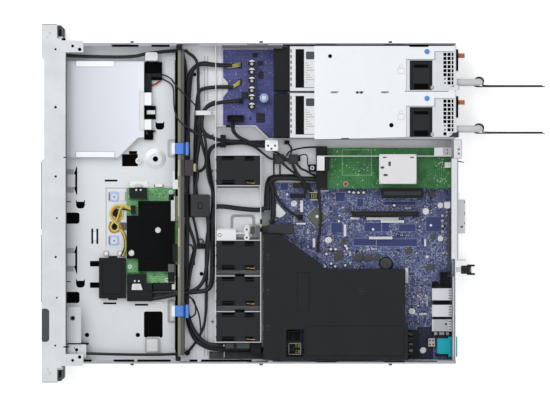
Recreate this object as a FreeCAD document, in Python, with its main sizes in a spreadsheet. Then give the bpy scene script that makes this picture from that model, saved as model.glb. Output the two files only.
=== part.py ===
import FreeCAD, Part
import math
import os
import re
import Sketcher
from FreeCAD import Placement, Rotation, Vector

# Rack server of one rack unit with its top cover off.
# Front faces -Y, rear +Y, right seen from the front +X, up +Z, millimetres.
# Y is 0 at the back of the ears, Z is 0 under the case, X is 0 at mid width.

# Driving sizes
SIZES = {
    # case
    "ear_reach": 25.3,
    "ear_hole_inset": 8.75,
    "ear_hole_rise": 31.75,
    "ear_hole_radius": 3.4,
    "case_width": 432,
    "case_height": 42.8,
    "front_reach": 17.5,
    "bezel_reach": 20.8,
    "sheet": 1.2,
    "thin_sheet": 1,
    "hem": 4,
    "slip": 0.3,
    "stud_radius": 2.4,
    "stud_length": 3.4,
    "stud_first": 100,
    "stud_pitch": 174.7,
    "standoff_radius": 3,
    "board_lift": 3.5,
    "board_thick": 1.6,
    "hem_slot_first": 72,
    "hem_slot_length": 28,
    "hem_slot_pitch": 92,
    # ears, latches and button
    "lip_width": 20,
    "lip_gap": 3,
    "latch_width": 18.6,
    "latch_depth": 8.7,
    "latch_height": 24,
    "latch_pin": 1.5,
    "button_radius": 4,
    "button_travel": 1.5,
    # front strip and tag
    "strip_depth": 11.5,
    "bracket_depth": 24,
    "bracket_width": 16,
    "tag_margin": 5.5,
    "tag_width": 45.5,
    "tag_rim": 27.8,
    "tag_grip": 10,
    "tag_reach": 30,
    "tag_drop": 6,
    "tag_thick": 2.4,
    # optical bay
    "optical_margin": 22.8,
    "optical_width": 130,
    "optical_depth": 112,
    "optical_thick": 12.7,
    "optical_corner": 27,
    # drive bays
    "bay_floor_lift": 2,
    "drive_bay_depth": 158,
    "bay_gap": 4,
    "bay_headroom": 4,
    "blank_depth": 28,
    "floor_pitch": 107,
    # storage controller
    "ctrl_offset": 32.9,
    "ctrl_width": 129,
    "ctrl_depth": 65.5,
    "ctrl_rise": 3,
    "ctrl_shelf": 27.5,
    "heat_plate_thick": 8,
    "heat_plate_groove": 1.2,
    "battery_width": 55,
    "battery_depth": 36,
    "battery_height": 14,
    # backplane and release tabs
    "backplane_gap": 4.5,
    "backplane_thick": 2.2,
    "backplane_drop": 6,
    "bar_thick": 6,
    "tab_width": 14.5,
    "tab_reach": 19,
    "tab_thick": 2,
    # fans
    "cable_channel": 42.3,
    "cable_lane": 28.5,
    "fan_size": 39.6,
    "fan_length": 59,
    "fan_gap": 8.4,
    "lone_fan_gap": 22,
    "fan_rim": 1.5,
    "blade_gap": 0.7,
    "hub_radius": 9,
    "shaft_radius": 2,
    # power board
    "plunger_radius": 5.9,
    "plunger_stem": 2.2,
    "capacitor_radius": 4.8,
    "capacitor_height": 18,
    "capacitor_pitch": 11.6,
    "socket_depth": 22.5,
    "socket_height": 30,
    # power supplies
    "psu_margin": 3.6,
    "psu_width": 60,
    "psu_gap": 3,
    "psu_length": 223.5,
    "psu_skin": 1,
    "psu_wall_gap": 1.2,
    "psu_fan_width": 39.6,
    "psu_fan_length": 30,
    "cover_drop": 0.4,
    "cover_setback": 33,
    "inlet_width": 30,
    "inlet_height": 22,
    "psu_latch_travel": 3,
    "handle_radius": 4.6,
    "handle_reach": 31,
    "strap_thick": 1.4,
    "strap_width": 14,
    "strap_reach": 120,
    # boards, cards and shroud
    "duct_gap": 3,
    "board_gap": 13,
    "card_gap": 11,
    "card_width": 55,
    "card_length": 168,
    "card_height": 20,
    "riser_width": 13,
    "shroud_width": 122,
    "shroud_skin": 1.5,
    "shroud_drop": 3,
    "shroud_length": 191,
    "memory_length": 133.4,
    "memory_height": 29,
    "memory_pitch": 9.6,
    "memory_thick": 1.3,
    "sink_width": 66,
    "sink_length": 104,
    "sink_base": 4,
    "fin_thick": 0.8,
    "processor_size": 56,
    "processor_height": 7,
    "port_width": 16,
    "port_depth": 31,
    "port_height": 13.5,
    "port_gap": 37.4,
    "first_port": 41.5,
    "second_port": 61.2,
    "third_port": 83.5,
    "serial_inset": 7,
    "serial_width": 27,
    "serial_height": 12.5,
    "rear_latch_inset": 124.8,
    # cables
    "thick_cable": 6.4,
    "power_cable": 5.2,
    "front_cable": 4,
    "thin_cable": 3.2,
}

# Places worked out from the driving sizes
PLACES = {
    "half": "case_width / 2",
    "inner": "half - sheet",
    "rim": "case_height",
    "middle": "case_height / 2",
    "floor_top": "sheet",
    "hem_under": "rim - sheet",
    "hem_edge": "half - hem",
    "case_depth": "shroud_rear + port_gap + port_depth",
    "rear_inner": "case_depth - sheet",
    "ear_span": "case_width + 2 * ear_reach",
    "ear_half": "ear_span / 2",
    "ear_hole_span": "ear_span - 2 * ear_hole_inset",
    "lip_left": "half - lip_width",
    "board_under": "floor_top + board_lift",
    "board_top": "board_under + board_thick",
    "bay_under": "floor_top + bay_floor_lift",
    "bay_top": "bay_under + thin_sheet",
    "bay_end": "drive_bay_depth",
    "plate_back": "sheet - front_reach",
    "optical_left": "optical_margin - inner",
    "optical_right": "optical_left + optical_width",
    "optical_low": "bay_top + slip",
    "optical_high": "optical_low + optical_thick",
    "plate_low": "optical_high + slip",
    "plate_high": "plate_low + thin_sheet",
    "front_left_over": "inner - optical_right - tag_margin - tag_width - tag_rim",
    "bay_width": "(front_left_over - 1.5 * bay_gap) / 2",
    "bay_left": "optical_right + bay_gap",
    "second_bay": "bay_left + bay_width + bay_gap / 2",
    "bay_right": "second_bay + bay_width",
    "bay_ceiling": "rim - bay_headroom",
    "tag_left": "bay_right + tag_margin",
    "tag_right": "tag_left + tag_width",
    "tag_low": "rim - tag_drop",
    "lip_right": "tag_right + lip_gap",
    "latch_low": "middle - latch_height / 2",
    "latch_high": "middle + latch_height / 2",
    "latch_pivot": "half + 5.5",
    "latch_axis": "slip + latch_depth / 2",
    "button_place": "half + 7",
    "ctrl_left": "(optical_right + inner - ctrl_width) / 2 - ctrl_offset",
    "ctrl_right": "ctrl_left + ctrl_width",
    "ctrl_rear": "bay_end - 0.5",
    "ctrl_front": "ctrl_rear - ctrl_depth",
    "shelf_top": "bay_top + thin_sheet",
    "ctrl_under": "shelf_top + ctrl_rise",
    "ctrl_top": "ctrl_under + board_thick",
    "backplane_front": "bay_end + backplane_gap",
    "backplane_rear": "backplane_front + backplane_thick",
    "backplane_high": "rim - backplane_drop",
    "bar_rear": "backplane_rear + bar_thick",
    "tab_low": "backplane_high + slip + 0.3",
    "tab_axis": "tab_low + tab_thick / 2",
    "fan_wall_front": "bar_rear + cable_channel",
    "fan_front": "fan_wall_front + thin_sheet + slip",
    "fan_rear": "fan_front + fan_length",
    "fan_wall_rear": "fan_rear + slip",
    "fan_wall_end": "fan_wall_rear + thin_sheet",
    "fan_low": "floor_top + slip",
    "fan_high": "fan_low + fan_size",
    "fan_middle": "fan_low + fan_size / 2",
    "fan_pitch": "fan_size + fan_gap",
    "fan_right": "inner - cable_lane",
    "cage_right": "fan_right + slip + thin_sheet",
    "cage_high": "fan_high + 0.4",
    "bore": "fan_size / 2 - fan_rim",
    "lone_left": "psu_wall + thin_sheet + lone_fan_gap",
    "lone_right": "lone_left + fan_size",
    "group_left": "fan_right - 2 * fan_pitch - fan_size",
    "duct_front": "fan_wall_end + duct_gap",
    "fan_room": "group_left - lone_right",
    "rear_pivot": "inner - rear_latch_inset",
    "board_front": "fan_wall_end + board_gap",
    "board_rear": "rear_inner - 2",
    "psu_left": "psu_margin - inner",
    "psu_pitch": "psu_width + psu_gap",
    "psu_right": "psu_left + psu_pitch + psu_width",
    "psu_wall": "psu_right + psu_wall_gap",
    "psu_front": "case_depth - psu_length",
    "psu_rear": "case_depth + 1",
    "psu_low": "floor_top + slip",
    "cover_high": "rim - cover_drop",
    "cover_low": "cover_high - thin_sheet",
    "psu_high": "cover_low - slip",
    "psu_fan_front": "psu_rear - 63",
    "psu_fan_rear": "psu_fan_front + psu_fan_length",
    "psu_fan_low": "psu_low + psu_skin + 0.2",
    "psu_fan_high": "psu_high - 0.3",
    "psu_fan_middle": "(psu_fan_low + psu_fan_high) / 2",
    "psu_bore": "(psu_fan_high - psu_fan_low) / 2 - fan_rim",
    "socket_front": "psu_front - socket_depth",
    "socket_rear": "psu_front - slip",
    "divider": "psu_wall - 17.4",
    "divider_turn": "psu_front - 46.5",
    "divider_end": "psu_front - 29",
    "power_front": "fan_wall_front + 10",
    "power_left": "psu_left + 2.7",
    "plunger_across": "psu_left + 68.7",
    "plunger_along": "psu_front - 35",
    "card_left": "psu_wall + thin_sheet + card_gap",
    "card_right": "card_left + card_width",
    "card_rear": "board_rear - 2",
    "card_front": "card_rear - card_length",
    "card_low": "card_height",
    "card_top": "card_low + board_thick",
    "board_left": "card_right - 8",
    "board_right": "inner - 2.5",
    "board_step": "card_front - 15",
    "shroud_right": "inner - 3.8",
    "shroud_left": "shroud_right - shroud_width",
    "shroud_split": "shroud_right - 50",
    "shroud_rear": "duct_front + shroud_length",
    "shroud_high": "rim - shroud_drop",
    "shroud_low": "board_top + slip",
    "sink_middle": "(shroud_left + shroud_split) / 2",
    "sink_along": "shroud_rear - 69",
    "sink_low": "board_top + processor_height",
    "sink_high": "shroud_high - shroud_skin - 2",
    "memory_first": "shroud_right - 36",
    "memory_front": "shroud_rear - memory_length + 7",
    "memory_rear": "memory_front + memory_length",
    "memory_low": "board_top + 2",
}

doc = FreeCAD.newDocument("rack_server")
sheet = doc.addObject("Spreadsheet::Sheet", "dims")
for row, (alias, value) in enumerate(SIZES.items(), 1):
    sheet.set("A%d" % row, alias)
    sheet.set("B%d" % row, str(value))
    sheet.setAlias("B%d" % row, alias)
for row, (alias, text) in enumerate(PLACES.items(), 1):
    sheet.set("C%d" % row, alias)
    sheet.set("D%d" % row, "=" + text)
    sheet.setAlias("D%d" % row, alias)
doc.recompute()

WORD = re.compile(r"[a-z][a-z_]*")
PIECES = []


def formula(text):
    """Points every word of a size formula at the sheet."""
    return WORD.sub(lambda word: "dims." + word.group(0), str(text))


def number(text):
    """The present value of a size formula."""
    return float(sheet.evalExpression(formula(text)))


def run(span):
    """The length of a low and high pair of formulas."""
    return formula("(%s) - (%s)" % (span[1], span[0]))


def place(thing, corner):
    for axis, text in zip("xyz", corner):
        thing.setExpression("Placement.Base." + axis, formula(text))


def block(x, y, z):
    """A box between low and high formulas on each axis."""
    box = doc.addObject("Part::Box", "block")
    for name, span in zip(("Length", "Width", "Height"), (x, y, z)):
        box.setExpression(name, run(span))
    place(box, (x[0], y[0], z[0]))
    return box


TURNS = {
    "x": Rotation(Vector(0, 1, 0), 90),
    "y": Rotation(Vector(1, 0, 0), -90),
    "z": Rotation(),
}


def rod(axis, middle, span, radius):
    """A round bar along one axis, its middle given by the two other coordinates."""
    bar = doc.addObject("Part::Cylinder", "rod")
    bar.Placement = Placement(Vector(), TURNS[axis])
    bar.setExpression("Radius", formula(radius))
    bar.setExpression("Height", run(span))
    corner = list(middle)
    corner.insert("xyz".index(axis), span[0])
    place(bar, corner)
    return bar


def ball(middle, radius):
    sphere = doc.addObject("Part::Sphere", "ball")
    sphere.setExpression("Radius", formula(radius))
    place(sphere, middle)
    return sphere


def fuse(parts):
    joined = doc.addObject("Part::MultiFuse", "joined")
    joined.Shapes = parts
    joined.Refine = True
    return joined


def group(parts):
    gathered = doc.addObject("Part::Compound", "gathered")
    gathered.Links = parts
    return gathered


def cut(base, tools):
    trimmed = doc.addObject("Part::Cut", "trimmed")
    trimmed.Base = base
    trimmed.Tool = tools[0] if len(tools) == 1 else group(tools)
    trimmed.Refine = True
    return trimmed


def plane_of(body, plane):
    return [item for item in body.Origin.OriginFeatures if item.Role == plane + "_Plane"][0]


def new_sketch(body, plane, level):
    """A sketch on one of the body's own planes, moved to a level along its axis."""
    sketch = body.newObject("Sketcher::SketchObject", "outline")
    sketch.AttachmentSupport = [(plane_of(body, plane), "")]
    sketch.MapMode = "FlatFace"
    shift = "-(%s)" % level if plane == "XZ" else level
    sketch.setExpression("AttachmentOffset.Base.z", formula(shift))
    return sketch


def tie(sketch, kind, item, point, text):
    """Holds one coordinate of a sketch point to a size formula."""
    index = sketch.addConstraint(Sketcher.Constraint(kind, -1, 1, item, point, number(text)))
    sketch.setExpression("Constraints[%d]" % index, formula(text))


def polygon(sketch, points):
    """A closed outline whose corners are all size formulas."""
    first = sketch.GeometryCount
    corners = [Vector(number(across), number(up), 0) for across, up in points]
    count = len(corners)
    for index in range(count):
        sketch.addGeometry(Part.LineSegment(corners[index], corners[(index + 1) % count]))
    for index in range(count):
        after = first + (index + 1) % count
        sketch.addConstraint(Sketcher.Constraint("Coincident", first + index, 2, after, 1))
    for index, (across, up) in enumerate(points):
        tie(sketch, "DistanceX", first + index, 1, across)
        tie(sketch, "DistanceY", first + index, 1, up)


def circle(sketch, middle, radius):
    item = sketch.GeometryCount
    centre = Vector(number(middle[0]), number(middle[1]), 0)
    sketch.addGeometry(Part.Circle(centre, Vector(0, 0, 1), number(radius)))
    tie(sketch, "DistanceX", item, 3, middle[0])
    tie(sketch, "DistanceY", item, 3, middle[1])
    index = sketch.addConstraint(Sketcher.Constraint("Radius", item, number(radius)))
    sketch.setExpression("Constraints[%d]" % index, formula(radius))


def pad(body, sketch, length, back=False):
    grown = body.newObject("PartDesign::Pad", "pad")
    grown.Profile = sketch
    grown.setExpression("Length", formula(length))
    grown.Reversed = back
    body.Tip = grown
    return grown


def pocket(body, sketch, length):
    sunk = body.newObject("PartDesign::Pocket", "pocket")
    sunk.Profile = sketch
    sunk.setExpression("Length", formula(length))
    body.Tip = sunk
    return sunk


def slab(name, plane, points, span):
    """A body padded from one outline between two levels."""
    body = doc.addObject("PartDesign::Body", name + "_body")
    sketch = new_sketch(body, plane, span[0])
    polygon(sketch, points)
    pad(body, sketch, "(%s) - (%s)" % (span[1], span[0]), back=plane == "XZ")
    return body


def tube(points, diameter):
    """A round cable of straight runs joined by arcs as large as the runs allow."""
    spots = [Vector(*[number(value) for value in point]) for point in points]
    radius = number(diameter) / 2
    edges = []
    bends = []
    start = spots[0]
    for before, spot, after in zip(spots, spots[1:], spots[2:]):
        back = before - spot
        ahead = after - spot
        turn = math.pi - back.getAngle(ahead)
        reach = 0.45 * min(back.Length, ahead.Length)
        bend = reach / math.tan(turn / 2)
        bends.append(bend)
        enter = spot + Vector(back).normalize() * reach
        leave = spot + Vector(ahead).normalize() * reach
        lean = (Vector(back).normalize() + Vector(ahead).normalize()).normalize()
        heart = spot + lean * (bend / math.cos(turn / 2))
        crown = heart - lean * bend
        edges.append(Part.makeLine(start, enter))
        edges.append(Part.Arc(enter, crown, leave).toShape())
        start = leave
    edges.append(Part.makeLine(start, spots[-1]))
    wire = Part.Wire(edges)
    way = edges[0].tangentAt(edges[0].FirstParameter)
    ring = Part.Wire([Part.makeCircle(radius, spots[0], way)])
    solid = wire.makePipeShell([ring], True, True)
    length = sum(edge.Length for edge in edges)
    share = solid.Volume / (math.pi * radius * radius * length)
    print("cable length %.0f, tightest radius %.0f, volume over section %.4f" % (length, min(bends), share))
    return solid


def piece(label, thing):
    thing.Label = label
    PIECES.append(thing)


# Case

def chassis_pan():
    profile = [
        ("-half", "0"), ("half", "0"), ("half", "rim"), ("hem_edge", "rim"),
        ("hem_edge", "hem_under"), ("inner", "hem_under"), ("inner", "floor_top"),
        ("-inner", "floor_top"), ("-inner", "hem_under"), ("-hem_edge", "hem_under"),
        ("-hem_edge", "rim"), ("-half", "rim"),
    ]
    pan = slab("pan", "XZ", profile, ("-front_reach", "case_depth"))
    added = []
    for row in range(3):
        along = "stud_first + %d * stud_pitch" % row
        added.append(rod("x", (along, "middle"), ("half", "half + stud_length"), "stud_radius"))
        added.append(rod("x", (along, "middle"), ("-half - stud_length", "-half"), "stud_radius"))
    stands = [
        ("board_left + 12", "board_front + 10"), ("board_right - 8", "board_front + 10"),
        ("board_left + 16", "board_rear - 60"), ("board_right - 10", "board_rear - 12"),
        ("card_left + 8", "board_rear - 12"), ("card_left + 8", "board_step + 10"),
        ("power_left + 6", "power_front + 6"), ("divider - 10", "power_front + 6"),
        ("power_left + 6", "psu_front - 8"), ("psu_wall - 8", "psu_front - 8"),
    ]
    for across, along in stands:
        added.append(rod("z", (across, along), ("floor_top", "board_under"), "standoff_radius"))
    slots = []
    for row in range(5):
        low = "hem_slot_first + %d * hem_slot_pitch" % row
        span = (low, low + " + hem_slot_length")
        slots.append(block(("hem_edge - 1", "inner - 0.6"), span, ("hem_under", "rim + 1")))
        slots.append(block(("0.6 - inner", "1 - hem_edge"), span, ("hem_under", "rim + 1")))
    piece("chassis_pan", cut(fuse([pan] + added), slots))


def drive_bay_floor():
    wide = ("slip - inner", "inner - slip")
    deep = ("plate_back + slip", "bay_end")
    parts = [block(wide, deep, ("bay_under", "bay_top"))]
    parts.append(block(("inner - slip - thin_sheet", "inner - slip"), deep, ("floor_top", "bay_under")))
    parts.append(block(("slip - inner", "slip - inner + thin_sheet"), deep, ("floor_top", "bay_under")))
    for row in range(2):
        shift = "%d * floor_pitch" % row
        parts.append(block(("bay_left + 19 + " + shift, "bay_left + 36 + " + shift),
                           ("strip_depth", "strip_depth + 10.5"), ("bay_top", "bay_top + 1.2")))
    ramp = "lip_right - 8.5"
    parts.append(block((ramp, ramp + " + 20"), ("bay_end - 38.5", "bay_end - 21"), ("bay_top", "bay_top + 1.5")))
    for left in ("optical_left + 111", "bay_right + 2"):
        parts.append(block((left + " + 1", left + " + tab_width - 1"), ("bay_end - 2.2", "bay_end - 1.2"),
                           ("bay_top", "tab_low - 0.9")))
    ring = doc.addObject("Part::Cone", "ring")
    ring.Radius1 = 14.5
    ring.Radius2 = 8.5
    ring.Height = 1.6
    place(ring, ("bay_left - 2", "bay_end - 27", "bay_top"))
    parts.append(ring)
    through = ("bay_under - 1", "bay_top + 4")

    def slot(across, along, wide_by, deep_by):
        return block(("%s - %s" % (across, wide_by / 2), "%s + %s" % (across, wide_by / 2)),
                     ("%s - %s" % (along, deep_by / 2), "%s + %s" % (along, deep_by / 2)), through)

    holes = []
    for row in range(2):
        shift = "bay_left + %d * floor_pitch" % row
        holes.append(slot(shift + " + 27.7", "strip_depth + 13", 38.5, 3.6))
        holes.append(slot(shift + " + 59.3", "strip_depth + 19.5", 11, 11))
        holes.append(slot(shift + " + 78.2", "strip_depth + 9.2", 15.2, 18))
    for across, along, wide_by, deep_by in (
            ("second_bay + 4.5", "strip_depth + 35.5", 22, 3), ("second_bay + 4.5", "strip_depth + 42.2", 22, 2.5),
            ("second_bay + 42.2", "strip_depth + 37", 7.5, 13), ("second_bay + 71.3", "strip_depth + 37", 7.5, 13),
            ("bay_right", "bay_end - 89", 2.5, 18), ("bay_right + 2", "bay_end - 46", 2.5, 18),
            ("lip_right + 0.5", "strip_depth + 11.5", 2.6, 21), ("bay_left - 0.3", "bay_end - 61.7", 16.5, 21.5),
            ("bay_left - 10.8", "bay_end - 57.5", 4.3, 11), ("bay_left - 47", "bay_end - 20", 10, 12),
            ("lip_right - 26.5", "bay_end - 28.7", 36, 25.5)):
        holes.append(slot(across, along, wide_by, deep_by))
    for across, along, size in (("lip_right - 35", "strip_depth + 9.5", 4), ("lip_right - 11", "strip_depth + 26.5", 3),
                                ("lip_right - 11", "bay_end - 51", 3)):
        holes.append(rod("z", (across, along), through, size))
    holes.append(rod("z", ("bay_left - 2", "bay_end - 27"), through, 3.7))
    piece("drive_bay_floor", cut(fuse(parts), holes))


def front_frame():
    parts = [
        block(("slip - inner", "inner - slip"), ("-front_reach", "plate_back"), ("floor_top", "hem_under")),
        block(("slip - hem_edge", "hem_edge - slip"), ("-front_reach", "strip_depth"), ("hem_under", "rim")),
        block(("bay_left", "lip_right"), ("-bezel_reach", "-front_reach"), ("floor_top", "rim")),
        block(("tag_left - 1.5", "tag_right + 1.5"), ("plate_back - 0.5", "tag_reach + 2"),
              ("tag_low - slip - 1.2", "tag_low - slip")),
    ]
    for side in ("-half - 3", "half + 3 - bracket_width"):
        parts.append(block((side, side + " + bracket_width"),
                           ("strip_depth - 6", "strip_depth + bracket_depth"), ("rim", "rim + thin_sheet")))
    holes = []
    through = ("-bezel_reach - 2", "plate_back + 0.2")
    for left in ("bay_left", "second_bay"):
        holes.append(block((left + " + 2", left + " + bay_width - 2"), through, ("bay_top", "bay_ceiling")))
    holes.append(block(("optical_left + 1", "optical_right - 1"), through, ("bay_top", "plate_low + 0.5")))
    for row in range(11):
        low = "optical_left + 2 + %d * (optical_width - 4) / 11" % row
        holes.append(block((low + " + 1.5", low + " + (optical_width - 4) / 11 - 1.5"), through,
                           ("plate_high + 5", "rim - 6")))
    holes.append(block(("tag_left", "tag_right"), ("-bezel_reach - 1", "tag_grip + slip - bezel_reach"),
                       ("tag_low - slip", "rim + 1")))
    for across, along, size in (
            ("9 - half", -2, 1.5), ("optical_left + 63", -2, 1.6), ("bay_left + 22", -2, 1.6), ("bay_left + 78", 0, 1.1),
            ("second_bay + 32", -2, 1.6), ("bay_right - 8.5", 0, 1.1), ("lip_right + 3", -2, 1.6)):
        holes.append(rod("z", (across, along), ("hem_under - 1", "rim + 1"), size))
    for side in ("-half", "half"):
        sign = "+" if side == "-half" else "-"
        for inset, along, size in ((4.5, 9.5, 2), (9, 19, 2.4)):
            holes.append(rod("z", ("%s %s %s" % (side, sign, inset), "strip_depth + %s" % along),
                             ("rim - 0.2", "rim + 3"), size))
    piece("front_frame", cut(fuse(parts), holes))


def ears():
    for name, sign in (("left_ear", "-"), ("right_ear", "")):
        def side(near, far):
            return ("-(%s)" % far, "-(%s)" % near) if sign else (near, far)

        lip = "lip_left" if sign else "lip_right"
        parts = [
            block(side("half", "ear_half"), ("-bezel_reach", "0"), ("0", "rim")),
            block(side(lip, "half"), ("-bezel_reach", "-front_reach"), ("0", "rim")),
        ]
        for low, high in (("latch_low - slip - 2.6", "latch_low - slip"),
                          ("latch_high + slip", "latch_high + slip + 2.6")):
            parts.append(block(side("latch_pivot - 3", "latch_pivot + 3"), ("0", "latch_axis + 3"), (low, high)))
        pivot = "-latch_pivot" if sign else "latch_pivot"
        parts.append(rod("z", (pivot, "latch_axis"), ("latch_low - slip - 1", "latch_high + slip + 1"), "latch_pin"))
        hole = "%sear_hole_span / 2" % sign
        holes = []
        for rise in ("middle - ear_hole_rise / 2", "middle + ear_hole_rise / 2"):
            holes.append(rod("y", (hole, rise), ("-bezel_reach - 1", "1"), "ear_hole_radius"))
        if not sign:
            holes.append(rod("y", ("button_place", "middle"), ("-bezel_reach - 1", "9 - bezel_reach"),
                             "button_radius + slip"))
        piece(name, cut(fuse(parts), holes))


def ear_latches():
    for name, sign in (("left_latch", -1), ("right_latch", 1)):
        points = [
            ("latch_pivot", "slip"), ("latch_pivot + latch_width", "slip"),
            ("latch_pivot + latch_width", "slip + latch_depth - 4.5"),
            ("latch_pivot + latch_width - 4.5", "slip + latch_depth"), ("latch_pivot", "slip + latch_depth"),
        ]
        points = [("%s(%s)" % ("-" if sign < 0 else "", across), along) for across, along in points]
        lever = slab(name, "XY", points, ("latch_low", "latch_high"))
        middle = ("-latch_pivot" if sign < 0 else "latch_pivot", "latch_axis")
        barrel = rod("z", middle, ("latch_low", "latch_high"), "latch_depth / 2")
        bore = rod("z", middle, ("latch_low - 1", "latch_high + 1"), "latch_pin + slip")
        piece(name, cut(fuse([lever, barrel]), [bore]))


def power_button():
    cap = rod("y", ("button_place", "middle"), ("-bezel_reach - 1", "6 - bezel_reach"), "button_radius")
    dish = rod("y", ("button_place", "middle"), ("-bezel_reach - 2", "-bezel_reach - 0.5"), "button_radius - 1.2")
    piece("power_button", cut(cap, [dish]))


def info_tag():
    wide = ("tag_left + slip", "tag_right - slip")
    grip = block(wide, ("-bezel_reach", "tag_grip - bezel_reach"), ("tag_low", "rim - 0.2"))
    card = block(wide, ("tag_grip - bezel_reach", "tag_reach"), ("tag_low", "tag_low + tag_thick"))
    piece("info_tag", fuse([grip, card]))


def rear_panel():
    parts = [
        block(("psu_wall + thin_sheet", "inner"), ("rear_inner", "case_depth"), ("floor_top", "hem_under")),
        block(("card_left + 15", "card_left + 150"), ("case_depth - 6", "case_depth + 3"),
              ("hem_under - thin_sheet", "hem_under")),
        block(("psu_wall + thin_sheet", "card_left + 15"), ("case_depth - 3", "case_depth + 8"),
              ("hem_under - thin_sheet", "hem_under")),
        block(("card_left + 70", "card_left + 116"), ("case_depth", "case_depth + 14"), ("14", "15.2")),
        block(("rear_pivot - 14", "rear_pivot - 12.5"), ("case_depth", "case_depth + 14"), ("10", "30")),
    ]
    pivot = "rear_pivot"
    for low, high in (("11.4", "14"), ("30", "32.6")):
        parts.append(block((pivot + " - 3", pivot + " + 3"), ("case_depth", "case_depth + 7.3"), (low, high)))
    parts.append(rod("z", (pivot, "case_depth + 4.3"), ("12", "32"), "1.5"))
    holes = []
    through = ("rear_inner - 1", "case_depth + 1")
    for left, right, high in port_places():
        holes.append(block((left + " - slip", right + " + slip"), through, ("board_top - slip", high + " + slip")))
    holes.append(block(("card_left + 16", "card_right - 4"), through, ("card_low - 10", "card_top + 4")))
    for row in range(12):
        low = "card_right + 14 + %d * 6.2" % row
        holes.append(block((low, low + " + 3.6"), through, ("18", "hem_under - 6")))
    for shift in (5.5, 11.5):
        holes.append(rod("z", ("psu_wall + thin_sheet + %s + 8" % shift, "case_depth + 3"),
                         ("hem_under - 3", "hem_under + 1"), 1.6))
    piece("rear_panel", cut(fuse(parts), holes))


def rear_latch():
    pivot = "rear_pivot"
    axis = "case_depth + 4.3"
    low, high = "14 + slip", "30 - slip"
    parts = [
        rod("z", (pivot, axis), (low, high), "3"),
        block((pivot + " - 3", pivot + " + 3"), (axis, axis + " + 15"), (low, high)),
        block((pivot + " - 7", pivot + " + 7"), (axis + " + 12", axis + " + 15.5"), (low, high)),
        block((pivot + " - 7", pivot + " - 4.5"), (axis + " + 12", axis + " + 22"), (low, high)),
        block((pivot + " + 4.5", pivot + " + 7"), (axis + " + 12", axis + " + 22"), (low, high)),
    ]
    bore = rod("z", (pivot, axis), ("13", "31"), "1.5 + slip")
    piece("rear_latch", cut(fuse(parts), [bore]))


# Front bays

def cornered(left, right, front, rear):
    """A rectangle whose right rear corner is cut off, in X and Y."""
    return [
        (left, front), (right, front), (right, rear + " - optical_corner - 8"),
        (right + " - optical_corner", rear + " - 8"), (right + " - optical_corner", rear), (left, rear),
    ]


def optical_bay():
    plate = slab("optical_plate", "XY", cornered("optical_left", "optical_right", "0", "optical_depth + 4"),
                 ("plate_low", "plate_high"))
    parts = [plate]
    for low, high in (("optical_left", "optical_left + 7.5"), ("optical_right - 7.5", "optical_right")):
        parts.append(block((low, high), ("24", "optical_depth - 36"), ("plate_high", "plate_high + 1")))
    for low, high in (("optical_left", "optical_left + thin_sheet"), ("optical_right - thin_sheet", "optical_right")):
        parts.append(block((low, high), ("30", "optical_depth - 42"), ("bay_top", "plate_low")))
    piece("optical_bracket", fuse(parts))
    unit = slab("optical_unit", "XY", cornered("optical_left + 2", "optical_right - 2", "plate_back + slip",
                                               "optical_depth"), ("optical_low", "optical_high"))
    room = slab("optical_room", "XY", cornered("optical_left + 4", "optical_right - 4", "plate_back - 1",
                                               "optical_depth - 2"), ("optical_low + 3", "optical_high - 3.5"))
    piece("optical_drive", cut(unit, [room]))
    tray = slab("disc_tray", "XY", cornered("optical_left + 4.5", "optical_right - 4.5", "plate_back",
                                            "optical_depth - 3"), ("optical_low + 3.4", "optical_high - 4"))
    face = block(("optical_left + 1.5", "optical_right - 1.5"), ("-front_reach - 1.5", "plate_back"),
                 ("optical_low + 0.2", "optical_high - 0.2"))
    dish = rod("z", ("(optical_left + optical_right) / 2 - 6", "optical_depth / 2 - 8"),
               ("optical_low + 5", "optical_high"), "optical_width / 2 - 7")
    piece("disc_tray", cut(fuse([tray, face]), [dish]))


def drive_blanks():
    for name, left in (("drive_blank_left", "bay_left"), ("drive_blank_right", "second_bay")):
        low, high = left + " + 2 + slip", left + " + bay_width - 2 - slip"
        shell = block((low, high), ("-bezel_reach - 1", "blank_depth - bezel_reach - 1"),
                      ("bay_top + slip", "bay_ceiling - slip"))
        tools = [block((low + " + 2", high + " - 2"), ("2 - bezel_reach", "blank_depth - bezel_reach"),
                       ("bay_top + slip + 2", "bay_ceiling - slip - 2"))]
        for row in range(9):
            start = "%s + 8 + %d * (bay_width - 20) / 9" % (low, row)
            tools.append(block((start, start + " + 4.5"), ("-bezel_reach - 2", "1.5 - bezel_reach + 0.6"),
                               ("bay_top + 8", "bay_ceiling - 8")))
        piece(name, cut(shell, tools))


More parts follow.
